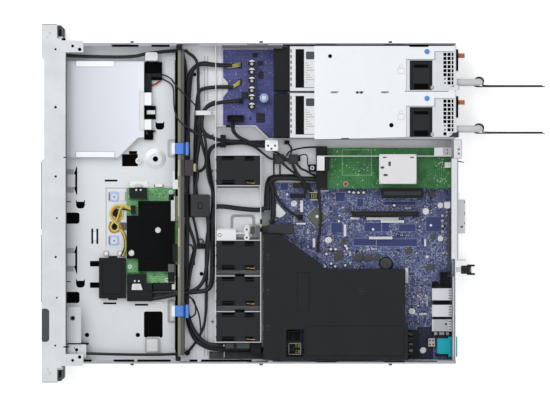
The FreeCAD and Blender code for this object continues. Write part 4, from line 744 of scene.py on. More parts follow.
shape = Shape("bay_cuts")
floor = levels["bay"]
(x, y), pitch = bayCuts["lens"], bayCuts["pitch"]
for shift in (0, pitch):
    span = (x[0] + shift, x[1] + shift)
    shape.block((span[0] - 0.8, span[1] + 0.8), (y[0] - 0.6, y[1] + 2.2),
                (floor, floor + 0.1), "baySteel", 0.05)
    shape.prism(lens(span, y), (floor + 0.1, floor + 0.14), "blackFilm", 0.01)
    for a, b in bayCuts["fingers"]:
        shape.block((a + shift, b + shift), (8, y[0] - 0.4), (floor, floor + 0.3), "hemSteel", 0.1)
for x, y in bayCuts["louvres"]:
    deep, wide = bayCuts["louvreSize"]
    shape.block((x - 0.6, x + deep + 0.6), (y - 0.6, y + wide + 2.6), (floor, floor + 0.1), "baySteel", 0.05)
    shape.prism(louvre(x, y, bayCuts["louvreSize"]), (floor + 0.1, floor + 0.14), "blackFilm", 0.01)
for x, y in bayCuts["covers"]:
    shape.block(x, y, (floor, floor + 0.1), "baySteel", 0.05)
for x, y, radius in bayCuts["squares"]:
    shape.pad(x, y, (floor + 0.1, floor + 0.14), "blackFilm", radius, 0.01)
for x, y in bayCuts["slots"]:
    shape.pad(x, y, (floor, floor + 0.05), "blackFilm", 0.5, 0.01)
# raised bridge between the two thin slots
shape.pad((38.6, 51), (46.2, 51), (floor + 0.1, floor + 1.6), "coverSteel", 1, 0.6)
# front fold of the carrier
shape.block((-20, 58.6), (63.6, 64.4), (floor, floor + 0.6), "hemSteel", 0.1)
shape.block((-21, -20), (63.6, 91.8), (floor, floor + 0.4), "hemSteel", 0.1)
shape.block((189.6, 191.2), (12.8, 40.6), (floor, 27.4), "blackFilm", 0.2)  # painted shade on the bracket's side
# bracket over the cable, with a black disc as painted shade in its hole
shape.pad((190.6, 208.6), (13, 38.4), (27.4, 28.4), "baySteel", 1.4, 0.2)
shape.rod((198, 25.5), (28.4, 28.5), 2.2, "blackFilm", 0.02)
shape.prism([(194.6, 21.8), (194.6, 22.7), (208, 27.9), (208, 27)], (28.4, 28.6), "barSteel", 0.02)
# ramp by the big opening
shape.tube(rounded((182.4, 203.4), (117.4, 136.8), 3.4), rounded((183.6, 202.2), (118.8, 135.4), 2.6),
           (floor, floor + 6.6), "hemSteel")
shape.pad((183.4, 202.4), (118.6, 135.6), (floor, floor + 7.2), "switchPlastic", 2.6, 1.6)
# slot beside the optical drive, drawn black as painted shade
shape.block((-68.9, -66.6), (95, 106), (floor, floor + 0.05), "blackFilm", 0.01)
for x, y in (((-194, -31.6), (158.2, 162.3)), ((131, 199), (158.2, 162.3))):    # painted shade: a black band in front of the backplane
    shape.pad(x, y, (levels["pan"] + 1.7, 31), "blackFilm", 1.8, 0.2)
# painted shade: the black band carried over the socket's end
shape.block((-44, -31.6), (158.2, 162.3),
            (top("drive_sockets"), top("drive_sockets") + 0.1), "blackFilm", 0.02)
shape.done("server")

# flanges of the optical bracket, each ringed by a grey rim of painted shade
shape = Shape("optical_flanges")
plate = 18.5
for x in ((-193.2, -184.4), (-70.4, -61.6)):
    shape.rim(x, (23.2, 76.9), (plate, plate + 0.1), "hemSteel", 1, (2.2, 1.6))
    shape.pad((x[0] + 0.6, x[1] - 0.6), (23.8, 76.3), (plate + 0.1, plate + 1.2), "coverSteel", 1.8, 0.3)
# rear lip, its grey edge painted shade
shape.pad((-151.4, -98.6), (110, 116), (plate, plate + 0.1), "hemSteel", 1.4, 0.02)
shape.pad((-150.8, -99.2), (110.5, 116), (plate + 0.1, plate + 0.5), "switchPlastic", 1.2, 0.2)
shape.done("server")

# painted skin over the top strip and both ears, with its round holes drawn black as painted shade and a dark
# fold behind, coloured as the strip's painted shadow
frontSkin = {
    "paint": (42.8, 43.1), "tag": ((142, 186.5), -10.4, 4.4),
    "holes": [(-207.2, -2, 1.5), (-129.2, -2, 1.8), (-36, -1.8, 1.6), (20, -0.2, 1.2), (72.4, -1.8, 1.6),
              (127.3, -0.2, 1.2), (191.6, -2.4, 1.3)],
    "left": [(-212, 11.5), (-212, 5.6), (-221.6, 5.6), (-221.6, 0), (-240.5, 0), (-240.5, -20.7),
             (-198, -20.7), (-195, -17.4), (-60, -17.4), (-57.4, -20.7)],
    "right": [(240.5, -20.7), (240.5, 0), (221.6, 0), (221.6, 5.6), (212, 5.6), (212, 11.5)],
}
shape = Shape("front_skin")
(a, b), back, radius = frontSkin["tag"]
notch = [(a, -20.7)] + [(a + radius * (1 - math.cos(t)), back - radius * (1 - math.sin(t)))
                        for t in (i * math.pi / 12 for i in range(7))]
notch += [(a + b - x, y) for x, y in notch[::-1]]
paint = frontSkin["paint"][1]
shape.prism(frontSkin["left"] + notch + frontSkin["right"], frontSkin["paint"], "stripPaint", 0.1)
for x, y, radius in frontSkin["holes"]:
    shape.rod((x, y), (paint, paint + 0.03), radius, "blackFilm", 0.01, 24)
shape.block((-211, 211), (11.5, 12.7), (38.4, 42.7), "barSteel", 0.1)    # dark fold, its colour painted as the shadow under the strip's edge
shape.block((-62.4, -61), (8.6, 12.7), (paint, paint + 0.05), "blackFilm", 0.01)  # notch in the strip, black as painted shade
for side in (-1, 1):
    # dark edge of the ear, painted shade of its side wall
    shape.block(sorted((side * 241.2, side * 240.5)), (-20.5, -0.2), (42.8, 42.9), "barSteel", 0.02)
    # black post by each ear: painted shade in the gap there
    shape.rod((side * 218, 8.6), (38, 43.6), 1.8, "blackFilm", 0.2)
    shape.ring((side * 228.5, -9.6), (paint, paint + 0.03), 1.7, 1.2, "hemSteel")  # faint rings on the ear
    shape.ring((side * 224, -12.6), (paint, paint + 0.03), 1.3, 0.9, "hemSteel")
shelf, shelfScrew = 36.3, (155, 20.6)                                  # tag shelf and the screw on it
shape.rod(shelfScrew, (shelf, shelf + 0.3), 3.5, "handlePlastic", 0.1, 24)
shape.rod(shelfScrew, (shelf + 0.3, shelf + 0.4), 2.3, "blackFilm", 0.02, 24)
shape.done("server")
for side, name in ((-1, "left_latch"), (1, "right_latch")):                # dark slot in each latch, painted shade in its recess
    z = top(name)
    shape = Shape(name + "_slot")
    shape.pad(sorted((side * 234.5, side * 226)), (2.2, 5), (z, z + 0.05), "blackFilm", 0.8, 0.01)
    shape.pad(sorted((side * 236, side * 224)), (6.4, 7.4), (z, z + 0.05), "handlePlastic", 0.4, 0.01)
    shape.done(name)

# pull-out tag under the strip
shape = Shape("tag_plate")
shape.pad((141.8, 186.7), (-20.8, 11), (36.8, 42.6), "tagPlastic", 3, 0.8)
shape.pad((144, 184.5), (10, 14.6), (36.5, 37), "shelfSteel", 2, 0.1)    # pale inner end
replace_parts(shape.done("info_tag"), "info_tag")

# slots and shadow gaps along the two hems, drawn black as painted shade, and black discs of painted shade in
# the brackets' holes
hemCuts = {
    "left": [(74, 109.6), (127, 151.6), (474, 500)],
    "right": [(34, 46.6), (76, 104), (108, 153), (178, 189), (194, 262)],
    "leftGap": (304, 535), "rightGap": (290, 512), "holes": [(211.5, 21, 1.9), (207, 30.5, 2.3)],
}
shape = Shape("hem_slots")
z = top("chassis_pan")
for y in hemCuts["left"]:
    shape.pad((-213.4, -210.4), y, (z - 1, z + 0.05), "blackFilm", 0.4, 0.01)
for y in hemCuts["right"]:
    shape.pad((210.4, 213.4), y, (z - 1, z + 0.05), "blackFilm", 0.4, 0.01)
shape.block((-213.8, -212), hemCuts["leftGap"], (z, z + 0.05), "blackFilm", 0.01)
shape.block((212, 213.4), hemCuts["rightGap"], (z, z + 0.05), "blackFilm", 0.01)
# seals at the backplane's ends
shape.pad((-214.4, -206.4), (160.4, 168.6), (z - 6, z + 0.1), "blackPlastic", 1.4, 0.3)
shape.pad((206.4, 212.6), (159.6, 166.4), (z - 6, z + 0.1), "blackPlastic", 1.4, 0.3)
for x, y, radius in hemCuts["holes"]:
    for side in (-1, 1):
        shape.rod((side * x, y), (z, z + 0.5), radius, "blackFilm", 0.05)
shape.block((-212.6, -208.2), (222, 303), (z, z + 0.05), "barSteel", 0.01)  # painted shadow along the left hem's inner edge
shape.pad((-222, -219.2), (6.4, 11.6), (z - 3, 43.4), "blackFilm", 1.2, 0.1)  # painted shade in the gap by the left ear
shape.block((192.6, 194.2), (8.4, 16.2), (42, 43.4), "blackFilm", 0.2)   # painted shade in the gap beside the tag
shape.done("server")

# plugs and brackets behind the optical drive
opticalRear = {
    "blackFilm": [((-191.5, -177), (116.3, 140), 10), ((-171, -167), (122, 140), 7),
                  ((-132, -114), (116.3, 131.5), 6), ((-99, -86), (116.3, 128), 8),
                  ((-99, -97), (127, 131), 7)],
    "blackPlastic": [((-176.8, -150), (112.4, 126), 8), ((-176.6, -171.4), (126, 140), 9)],
    "plugGrey": [((-97, -93), (118, 121.4), 8.6)],
    "switchPlastic": [((-126, -120.5), (119.5, 131), 7.2)],
    "coverSteel": [((-150, -132.4), (112.4, 126.4), 13), ((-113.6, -99.4), (112.4, 126.4), 13)],
}
shape = Shape("optical_plugs")
for look, rows in opticalRear.items():
    for x, y, high in rows:
        shape.block(x, y, rise("bay", high), look, 0.5)
post = (-57.5, 108.5)                                                  # threaded post beside the drive
shape.rod(post, rise("bay", 6), 4.6, "coverSteel", 0.6)
shape.rod(post, rise("bay", 7, 6), 2.4, "screwSteel", 0.4, 6)
shape.prism(rounded((-204, -192.6), (118, 135), 3), (27, 28), "switchPlastic", 0.3)      # cable guide
shape.block((-193.6, -192.6), (118, 135), (levels["bay"], 27.2), "switchPlastic", 0.2)
shape.done("server")
opticalWires = {
    "jacketBlack": [[(-175, 139, 10), (-171.4, 151, 16), (-161.3, 157.6, 34), (-155.4, 162.6, 38),
                     (-147.8, 170, 37.6), (-137.6, 181, 30), (-128.4, 188.7, 26), (-123, 192, 24)],
                    [(-169.6, 139, 9), (-164.6, 149.4, 14), (-157, 156.4, 24), (-139.3, 156.8, 32),
                     (-125.8, 157.4, 34), (-112.3, 162.5, 38), (-103.9, 171.9, 37.6), (-95.4, 188, 30),
                     (-87, 204, 26), (-85, 221, 24)]],
    "wireRed": [[(-160.4, 125.6, 9), (-162, 131, 11), (-165.5, 136, 11), (-168, 139.6, 9)],
                [(-159, 125.6, 8.6), (-160.6, 131, 10), (-163.6, 136, 10), (-168, 139.4, 8)]],
}
for look, routes in opticalWires.items():
    leads("optical_wires_" + look, routes, 1.9 if look == "jacketBlack" else 1.3, look)

# dressing of the storage controller
control = {
    "steel": [((-30, -21.3), (96, 121), 1.2), ((-26, -22), (130, 141), 3), ((133.3, 136), (130.5, 141), 2)],
    "clips": (-9, 50.5),                     # middles of the two thumb clips
    "studs": [(-18, 105.5, 7), (-18, 111.5, 7), (105.5, 103.5, 7), (105.5, 109, 7)],
}
shape = Shape("controller_fittings")
for x, y, high in control["steel"]:
    shape.pad(x, y, rise("bay", high), "coverSteel", 1.2)
for middle in control["clips"]:
    wide = (middle - 6.6, middle + 6.6)
    base = levels["carrier"]
    shape.pad(wide, (68.8, 81), (base, base + 2), "paleBlue", 1.6, 0.5)
    shape.pad((wide[0] + 0.6, wide[1] - 0.6), (82, 90), (base, base + 1.4), "switchPlastic", 1)
    shape.rod((middle + 0.5, 75), (base + 2, base + 2.5), 4.8, "thumbWhite", 0.4, 28)
    shape.rod((middle + 0.5, 75), (base + 2.5, base + 2.6), 1.1, "latchPlastic", 0.02)
    # grey strip behind each clip: painted shadow of the controller board's edge
    shape.block((wide[0] + 0.6, wide[1] - 0.6), (90, 90.8), (base, base + 1.6), "hemSteel", 0.1)
    shape.block((wide[0] + 1, wide[1] - 1), (67.6, 68.7), (base, base + 1.6), "barSteel", 0.2)
for x, y, high in control["studs"]:
    shape.rod((x, y), (levels["control"] + high, levels["control"] + high + 0.8), 1.3,
              "switchPlastic", 0.3, 12)
# clip on the left steel pad
shape.prism([(-24, 103), (-21.3, 104), (-21.3, 112), (-24, 113), (-26.5, 111), (-26.5, 105)],
            rise("bay", 7, 1.2), "switchPlastic", 0.4)
# latch on the big plug
shape.prism([(109.2, 100), (117.5, 99), (117.5, 114), (109.2, 111.5)],
            rise("bay", 13.4, 12), "switchPlastic", 0.4)
shape.pad((111.5, 115), (102.5, 109.5), rise("bay", 14.2, 13.4), "portShell", 1)
for x, y in ((37.4, 134.4), (66, 99.6)):                                  # domed heads on the heat plate: a grey rim of painted shade, a white top of painted highlight
    shape.rod((x, y), rise("plate", 1), 3, "hemSteel", 0.5, 24)
    shape.rod((x, y), rise("plate", 1.8, 1), 2.2, "switchPlastic", 0.7, 24)
# infill that leaves the grooves shallow
plateLow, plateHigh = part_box("controller_heat_plate")
shape.block((plateLow.x / mm + 1, plateHigh.x / mm - 1), (plateLow.y / mm + 17, plateHigh.y / mm - 1),
            (levels["plate"] - 3, levels["plate"] - 0.4), "blackAnodised", 0.1)
for y in ((60.6, 67.6), (79.6, 86.6)):                                    # hooks beside the battery
    shape.pad((64.6, 71.3), y, rise("bay", 3), "hemSteel", 2.2, 0.2)
    shape.pad((65.5, 71.3), (y[0] + 0.9, y[1] - 0.9), rise("bay", 3.6), "coverSteel", 1.8, 0.3)
shape.rod((69.6, 88.6), rise("bay", 2), 0.9, "blackFilm", 0.1, 12)       # hole beside them, a black disc of painted shade
for x, y, radius in ((12.6, 77, 5.4), (31.4, 74.8, 4.4)):                 # ties inside the coiled leads
    shape.rod((x, y), rise("carrier", 1), radius, "blackFilm", 0.3, 24)
shape.pad((26, 37), (82, 92), rise("carrier", 0.3), "handlePlastic", 2, 0.1)  # shade under the coil
for y in (129.4, 140.6):                                                 # painted shade at both ends of the left steel block
    shape.block((-25.4, -22.6), (y, y + 1), rise("bay", 3.2), "blackFilm", 0.1)
# pale end of the heat plate, its fold and the strip behind
shape.block((-9.5, 24), (152.6, 158.2), rise("plate", 1), "switchPlastic", 0.3)
shape.block((-9.5, 24), (157.2, 158.2), (levels["bay"], levels["plate"] + 0.9), "switchPlastic", 0.2)
shape.block((-9.5, 24), (158.4, 161.6), rise("bay", 7), "hemSteel", 0.2)
# pale corner behind the big plug
shape.block((98, 117), (157.3, 158.3), rise("bay", 12), "switchPlastic", 0.2)
shape.block((109.6, 117), (153.6, 157.3), rise("bay", 11.5), "switchPlastic", 0.3)
shape.block((24.5, 83), (157.9, 161), rise("bay", 7), "controllerGreen", 0.2)  # edge of the board
shape.block((108.4, 118.4), (127.2, 157), rise("bay", 8.6), "blackPlastic", 1)  # big plug
shape.block((108.4, 118.4), (119.5, 127), rise("bay", 13, 12), "blackPlastic", 0.4)
shape.block((94, 96.4), (93.5, 119), rise("control", 2), "cardGreen", 0.3)  # dark green strips
shape.block((-6.8, -4.4), (96, 120.5), rise("control", 2), "cardGreen", 0.3)
shape.pad((82.5, 93.4), (148.8, 157.3), rise("plate", 1.4), "handlePlastic", 1)
# bare metal rings on the controller's board
for x, y in ((-9, 97.5), (86, 96.5), (-15, 152), (104, 146.5)):
    shape.ring((x, y), rise("control", 0.15), 2.8, 1.3, "bareAluminium", 16)
randomDraw = random.Random(11)
for _ in range(60):
    x, y = randomDraw.choice(((-19, -4.6), (94.5, 107))), randomDraw.choice(((122, 147), (128, 146)))
    a, b = randomDraw.uniform(*x), randomDraw.uniform(*y)
    size = randomDraw.uniform(0.5, 1.6)
    look = randomDraw.choice(("ceramicTan", "chipBlack", "inkWhite", "bareAluminium"))
    shape.block((a, a + size), (b, b + 0.9), rise("control", 0.8), look, 0.1)
shape.done("server")
batteryLeads = {
    "wireYellow": [
        [(7.6, 98, 12), (4.5, 94, 12), (2.9, 90, 11), (3.5, 85.6, 10), (9.6, 82.5, 10), (15.8, 81, 10),
         (23, 78.4, 10), (26.2, 73.7, 9.5), (31.3, 69.6, 8), (37.5, 72.2, 8), (38, 77.9, 8),
         (33.4, 81.5, 8.5), (28.4, 80, 9), (25.7, 75.3, 8)],
        [(8.6, 98, 11), (5.5, 92, 10), (2.9, 84.6, 9), (2.9, 77.3, 8), (7.6, 71.7, 7.5), (14.8, 69.1, 7),
         (22, 72.2, 7), (24.6, 77.9, 7), (21, 84.6, 7), (14.3, 87.2, 7), (7, 85, 7.5)],
        [(33.6, 80.5, 8), (35.5, 82.5, 8), (39.6, 86.6, 8), (44.8, 89.2, 8), (52, 90.9, 8), (66, 90.8, 8.5),
         (72, 86, 9)]],
    "wireOrange": [
        [(9.4, 98, 11), (6.6, 92.6, 9.5), (4.8, 86, 8.5), (5, 79, 7.5), (9, 73.6, 6.8), (15, 71.3, 6.6),
         (21, 73.8, 6.6), (22.6, 77.5, 6.6), (19.6, 82, 6.6), (14, 84.6, 6.8), (8, 83, 7)],
        [(22, 80.6, 8.5), (26, 81.8, 8), (33, 84.3, 7.6), (40, 88.2, 7.6), (46, 90.9, 8), (60, 91.6, 8),
         (72, 88, 8.5)],
        [(25, 70.6, 7), (31.5, 67.6, 6.8), (38.6, 70.2, 6.8), (40.2, 77, 6.8), (36, 83, 6.8)]],
    "jacketBlack": [
        [(10, 98, 10.5), (8, 91, 8.5), (8.6, 84, 7), (11, 78, 6.6), (14.5, 75.4, 6.6), (18.6, 76.6, 6.6),
         (19, 79.6, 6.6), (15, 81.8, 6.6), (11, 80, 6.8)],
        [(28.6, 73.4, 6.6), (32, 72, 6.6), (35.2, 74, 6.6), (34.6, 77.6, 6.6), (31.6, 78.4, 6.6),
         (29.4, 76.2, 6.6)],
        [(34, 82, 6.6), (38, 84.6, 6.6), (43, 87.4, 6.8), (50, 89.4, 7), (62, 90, 7.4), (72, 84, 8)]],
}
for look, routes in batteryLeads.items():
    leads("battery_leads_" + look, routes, 2.4, look)
print("front half dressed")

# backplane: plugs, wells beside the tabs, tie and small parts of the channel
shape = Shape("channel_fittings")
for x, look in (((-87, -62), "shelfSteel"), ((130.4, 163), "hemSteel")):
    shape.tube(rounded(x, (147.4, 158), 3), rounded((x[0] + 3.4, x[1] - 3.4), (151, 157.9), 2),
               rise("bay", 0.5), look)
    shape.block((x[0] + 3.4, x[1] - 3.4), (151, 157.9), rise("bay", 0.6), "switchPlastic", 0.1)
shape.block((-58.6, -36.8), (171, 183.4), (25.4, 36.6), "plugBrown", 0.8)  # brown plug with lip and contacts
shape.block((-58.6, -36.8), (167.6, 171), (36.4, 37.4), "plugBrown", 0.3)
shape.pad((-53.6, -42.4), (183.4, 187.2), (27, 35), "contactOlive", 1, 0.6)
shape.block((-52.4, -43.6), (183.4, 186), (35, 35.6), "ceramicGrey", 0.2)
for y in (197.4, 201.6):                                                # folds of the channel floor
    shape.block((-200, -138), (y, y + 0.8), rise("pan", 0.5), "hemSteel", 0.1)
    shape.block((120, 208), (y, y + 0.8), rise("pan", 0.5), "hemSteel", 0.1)
shape.rim((185.8, 208.4), (9, 30), (-125, -119), "switchPlastic", 1.2, (4, 3), "x")     # cable tie
shape.block((-125, -119), (208.2, 213), (18, 20), "switchPlastic", 0.3)  # its end
shape.rod((96, 193.5), rise("pan", 0.2), 2.7, "blackFilm", 0.05)         # holes in the channel floor, black discs of painted shade
shape.rod((-175, 184), rise("pan", 0.2), 2.5, "blackFilm", 0.05)
shape.ring((52, 192.5), rise("pan", 7), 4.2, 2.4, "latchPlastic")        # standing ring
shape.ring((-176, 193), rise("pan", 0.6), 2.2, 1.2, "cageSteel")         # pressed ring in the floor
shape.block((55, 62), (187, 198), rise("pan", 9), "blackPlastic", 0.8)
for x in (-92, -44, 161, -8):                                           # screws along the fan wall
    shape.ring((x, 208.5), rise("pan", 0.9), 3, 1.5, "screwSteel")
    shape.rod((x, 208.5), rise("pan", 0.5), 1.5, "latchPlastic", 0.1, 6)
# grey box with a moulded ring
shape.pad((-12, 18.4), (179.6, 204.9), (14.4, 33), "plugGrey", 2.2, 0.6)
shape.rim((-1, 8), (189, 196), (33, 33.2), "blackPlastic", 1.2, (2, 1.2))
edge = top("drive_backplane")
# bare laminate along the board's edge
for x in ((-208, -81.6), (-65.9, 137.4), (153.1, 205)):
    shape.block(x, (162.5, 164.8), (edge, edge + 0.2), "oliveEdge", 0.05)
    shape.block(x, (164.8, 166.1), (edge - 0.5, edge + 0.2), "oliveEdge", 0.05)
# paler stretches
for x, back in (((-58, -37), 164.8), ((-21, 17.5), 164.3), ((33, 58.5), 164.8), ((82, 99), 164.3)):
    shape.block(x, (162.6, back), (edge + 0.2, edge + 0.26), "paleCream", 0.02)
for x in (-205, 203):                                                   # grommets at both ends
    shape.rod((x, 167 if x < 0 else 174.6), (levels["pan"], 20 if x < 0 else 12), 3.6, "blackPlastic", 0.8)
shape.done("server")
tabLip = {"left_release_tab": ((-81, -66.5), (-82.2, -64.4)),
          "right_release_tab": ((138, 152.5), (136.4, 154.6))}
for name, (x, wide) in tabLip.items():
    z = top(name)
    shape = Shape(name.replace("release_tab", "tab_lip"))
    shape.block(x, (154.7, 158.6), (z, z + 0.1), "coverSteel", 0.03)         # pale hinge leaf
    shape.block(x, (170.2, 173), (z, z + 0.3), "deepBlue", 0.05)
    shape.block(wide, (173.4, 176.8), (z - 1.2, z + 0.5), "bluePlastic", 0.4)
    shape.done(name)
channelCables = {
    4.2: [[(-207, 172, 30), (-203, 176, 28), (-198, 184, 26), (-188, 189.5, 25), (-160, 189.5, 25),
           (-126, 190.5, 25), (-108, 192, 25), (-88, 193, 24), (-72, 197, 22), (-60, 200.5, 21),
           (-48, 199, 20), (-42, 190, 18), (-41, 182, 16)],
          [(-205, 167.5, 17), (-197, 170.6, 18), (-182, 172.8, 18.6), (-166, 173.2, 18), (-140, 173.4, 18),
           (-110, 173.2, 19), (-75, 174, 23), (-60, 174.6, 28.6),
           (-37, 174.6, 28.6), (-22, 174, 24), (0, 174.2, 19), (20, 174.5, 18), (32, 177, 16), (48, 183, 15),
           (62, 185.5, 15), (78, 182.5, 15), (98, 177.5, 16), (116, 176, 17)],
          [(-10, 184, 26.4), (-24, 186, 27), (-36, 188.8, 29), (-44, 189.2, 31), (-48, 186, 31)]],
    3.4: [[(18, 182, 12), (34, 186, 11), (50, 189, 10), (58, 190, 9)],
          [(125.6, 126.4, 10), (124, 142, 12.4), (119.6, 160, 16), (117, 170, 20), (114, 176, 17)],
          [(62, 184, 11), (74, 180, 11), (90, 177.5, 11), (112, 177, 11)]],
    3.6: [[(60, 200.7, 20), (90, 200.7, 20), (118, 200.6, 17.5), (140, 200.3, 17), (157, 199, 17),
           (170, 196.2, 16), (184.6, 188.7, 13.5), (195, 181, 11), (203, 174.6, 10)],
          [(-100, 196, 27), (-84, 200, 27), (-66, 200.6, 26), (-48, 201.4, 25), (-32, 203.4, 24),
           (-21, 207.4, 22), (-13, 209.4, 20), (-4, 209.6, 20), (4, 211, 20.6)]],
    2.2: [[(-107, 171, 30), (-103, 174, 29), (-98, 179, 28.5), (-93, 187, 30.5), (-91, 198, 28),
           (-87, 212, 24), (-85.5, 222, 20)],
          [(126, 177, 22), (130, 183, 22), (136, 185.5, 22), (147, 186.5, 21), (153, 184, 20),
           (156, 176, 18)],
          [(128, 180, 21), (140, 187, 21), (152, 191, 20), (165, 192.5, 18), (176, 193, 15)],
          [(57, 176, 12), (56, 178.5, 13), (58, 181.5, 13), (70, 183.5, 13), (84, 184, 12)]],
    5.0: [[(-137, 214, 22), (-135, 206, 22), (-129, 199.5, 23), (-122, 196, 25), (-112, 194.5, 26),
           (-101, 194.5, 26), (-95, 198, 26), (-90, 205, 25), (-86, 214, 23), (-84, 230, 20), (-83, 255, 18),
           (-79, 276, 16)],
          [(-111, 236, 12), (-107, 236, 22), (-104, 236.2, 34), (-99, 236.6, 34), (-94, 239, 30),
           (-88, 246, 24), (-83, 258, 20), (-77, 270, 17), (-77, 290, 14)]],
    6.0: [[(-39, 175.2, 15), (-30, 175, 18), (-12, 174.8, 18.4), (20, 174.8, 18.4), (40, 174.2, 16),
           (70, 173.9, 14.5), (104, 173.9, 14), (128, 173.8, 13), (151.5, 174.4, 12)],
          [(-60, 175.6, 20.5), (-84, 175.4, 20), (-110, 175.2, 19.5), (-140, 174.6, 19), (-163, 174.8, 18.6),
           (-178, 178.6, 17.4), (-189.5, 190, 16), (-187.6, 208, 16), (-186.5, 226, 14)],
          [(150, 174.4, 13), (172, 180.8, 15), (190.4, 198, 18), (192.6, 216, 22), (192.4, 236, 26)],
          [(188.2, 189.4, 13.4), (196, 205, 16.5), (198, 228, 17.5), (197.6, 262, 17), (198, 281, 15)]],
    6.4: [[(129.4, 126.4, 11), (127, 142, 13.6), (121.5, 166, 18), (120, 186, 20), (118.5, 201, 20),
           (110, 208.6, 20), (60, 209, 20), (14, 208.5, 20), (5, 211, 21), (4, 222, 20), (7, 243, 16),
           (9, 262, 13), (9, 276, 10), (4, 283.3, 8), (-14, 283.6, 6), (-29, 287, 5.2), (-35.5, 299, 5),
           (-36, 321, 5)]],
}
for number, (diameter, routes) in enumerate(channelCables.items()):
    leads("channel_cables_%d" % number, routes, diameter, "jacketBlack")
print("channel dressed")

# fans: raised tops with two notches on each long side, wires and grommets
fanTop = {"wide": 39.6, "y": (214.6, 273), "rise": 0.8, "notches": ((220.5, 240), (251.6, 266)),
          "depth": 7.4, "grommets": (-14, 0, 14)}


def fanLid(shape, left):
    right = left + fanTop["wide"]
    (a, b), (c, d) = fanTop["notches"]
    deep, z = fanTop["depth"], levels["fan"]
    front, back = fanTop["y"]
    outline = [(left, front), (right, front), (right, a), (right - deep, a), (right - deep, b), (right, b),
               (right, c), (right - deep, c), (right - deep, d), (right, d), (right, back), (left, back),
               (left, d), (left + deep, d), (left + deep, c), (left, c), (left, b), (left + deep - 1.5, b),
               (left + deep - 1.5, a), (left, a)]
    shape.prism(outline, (z, z + fanTop["rise"]), "fanPlastic", 0.25)
    # the notches' floors are black, painted shade in the recesses
    for y in fanTop["notches"]:
        for x in ((left, left + deep), (right - deep, right)):
            shape.block(x, y, (z, z + 0.1), "rotorPlastic", 0.02)
            shape.block((x[0] + 0.8, x[1] - 0.8), (y[0] + 1.4, y[1] - 1.4),
                        (z + 0.1, z + 0.15), "blackFilm", 0.02)
    lid = z + fanTop["rise"]
    shape.rim((left + 4, right - 4), (217, 271), (lid, lid + 0.15), "fanPlastic", 0.8, (3, 2.4))
    for shift in fanTop["grommets"]:
        middle = (left + right) / 2 + shift
        shape.rod((middle, 214.4), (z - 1.6, z + 0.4), 1.6, "blackFilm", 0.4, 10)


shape = Shape("fan_tops")
fanLefts = (-64, 50.7, 98.7, 146.7)
for left in fanLefts:
    fanLid(shape, left)
for left in fanLefts[1:]:                                               # soft seals between the fans
    shape.block((left - 4.6, left - 1.6), (215, 272), (levels["fan"] - 4, levels["fan"] - 0.6),
                "latchPlastic", 0.5)
for x in ((95.2, 98.8), (143.2, 146.8)):                                # gaps in the walls between the fans, black as painted shade
    shape.block(x, (239.4, 252.4), rise("cage", 0.1), "blackFilm", 0.02)
shape.block((-24, -20.6), (215, 272), (levels["fan"] - 3, levels["fan"] - 0.6), "latchPlastic", 0.5)
shape.done("server")
fanWires = {"wireRed": [], "wireYellow": [], "jacketBlack": []}
for left in fanLefts:
    edge, z = left + 37, levels["fan"] + 0.5
    fanWires["wireRed"].append([(edge, 253.4, z), (edge - 0.6, 258, z), (edge + 0.6, 263, z),
                                (edge + 0.2, 268, z)])
    fanWires["wireYellow"].append([(edge - 1, 256, z), (edge + 0.5, 260, z), (edge - 0.4, 266, z)])
    fanWires["jacketBlack"].append([(edge - 2, 253.6, z), (edge - 1.6, 260, z), (edge - 1.8, 267, z)])
for look, routes in fanWires.items():
    leads("fan_wires_" + look, routes, 0.6, look)

# empty fan slot: embossed frame in the floor, switch, lever and wires, and the lane along the right wall
shape = Shape("slot_fittings")
shape.tube(rounded((15.3, 50), (233, 266.5), 5), rounded((18.8, 46.5), (236.6, 262.6), 3.4),
           rise("pan", 0.6), "hemSteel")
z = levels["cage"] + 0.6
shape.pad((36.2, 49.7), (214.6, 241), (34.8, z), "switchPlastic", 0.8, 0.4)  # switch and the ring on it
shape.ring((43, 218.8), (z, z + 0.1), 2.6, 1.9, "latchPlastic")
for x in (35.4, 46.4):                                                  # lever with two round ends
    shape.rod((x, 255.3), (33.6, z), 4, "switchPlastic", 0.6, 28)
    shape.rod((x, 255.3), (z, z + 0.1), 1.5, "latchPlastic", 0.02)
shape.block((36, 46), (252.6, 258), (33.6, z - 0.2), "switchPlastic", 0.3)
shape.block((39.6, 41.4), (240.6, 253), (33.8, z - 1), "switchPlastic", 0.3)
# ferrite on the thick cable
shape.pad((187.9, 196.4), (226, 259.6), (21, 33), "latchPlastic", 1.6, 1.4)
shape.tube(rounded((187.2, 202), (9, 34), 3), rounded((188.4, 200.8), (10.4, 32.6), 2.2), (-241.4, -238),
           "blackPlastic", "y")
darkLaneTop = levels["pan"] + 5                                                # dark block along the right wall: the dark cables there, with painted shade beside them
shape.block((201.4, 211.4), (204, 284.6), (levels["pan"], darkLaneTop), "latchPlastic", 0.8)
for y in (212, 239):                                                    # its oval eyes
    shape.rim((201.8, 206.4), (y - 2.4, y + 2.4), (darkLaneTop, darkLaneTop + 0.4), "handlePlastic", 0.8, (1.8, 1.2))
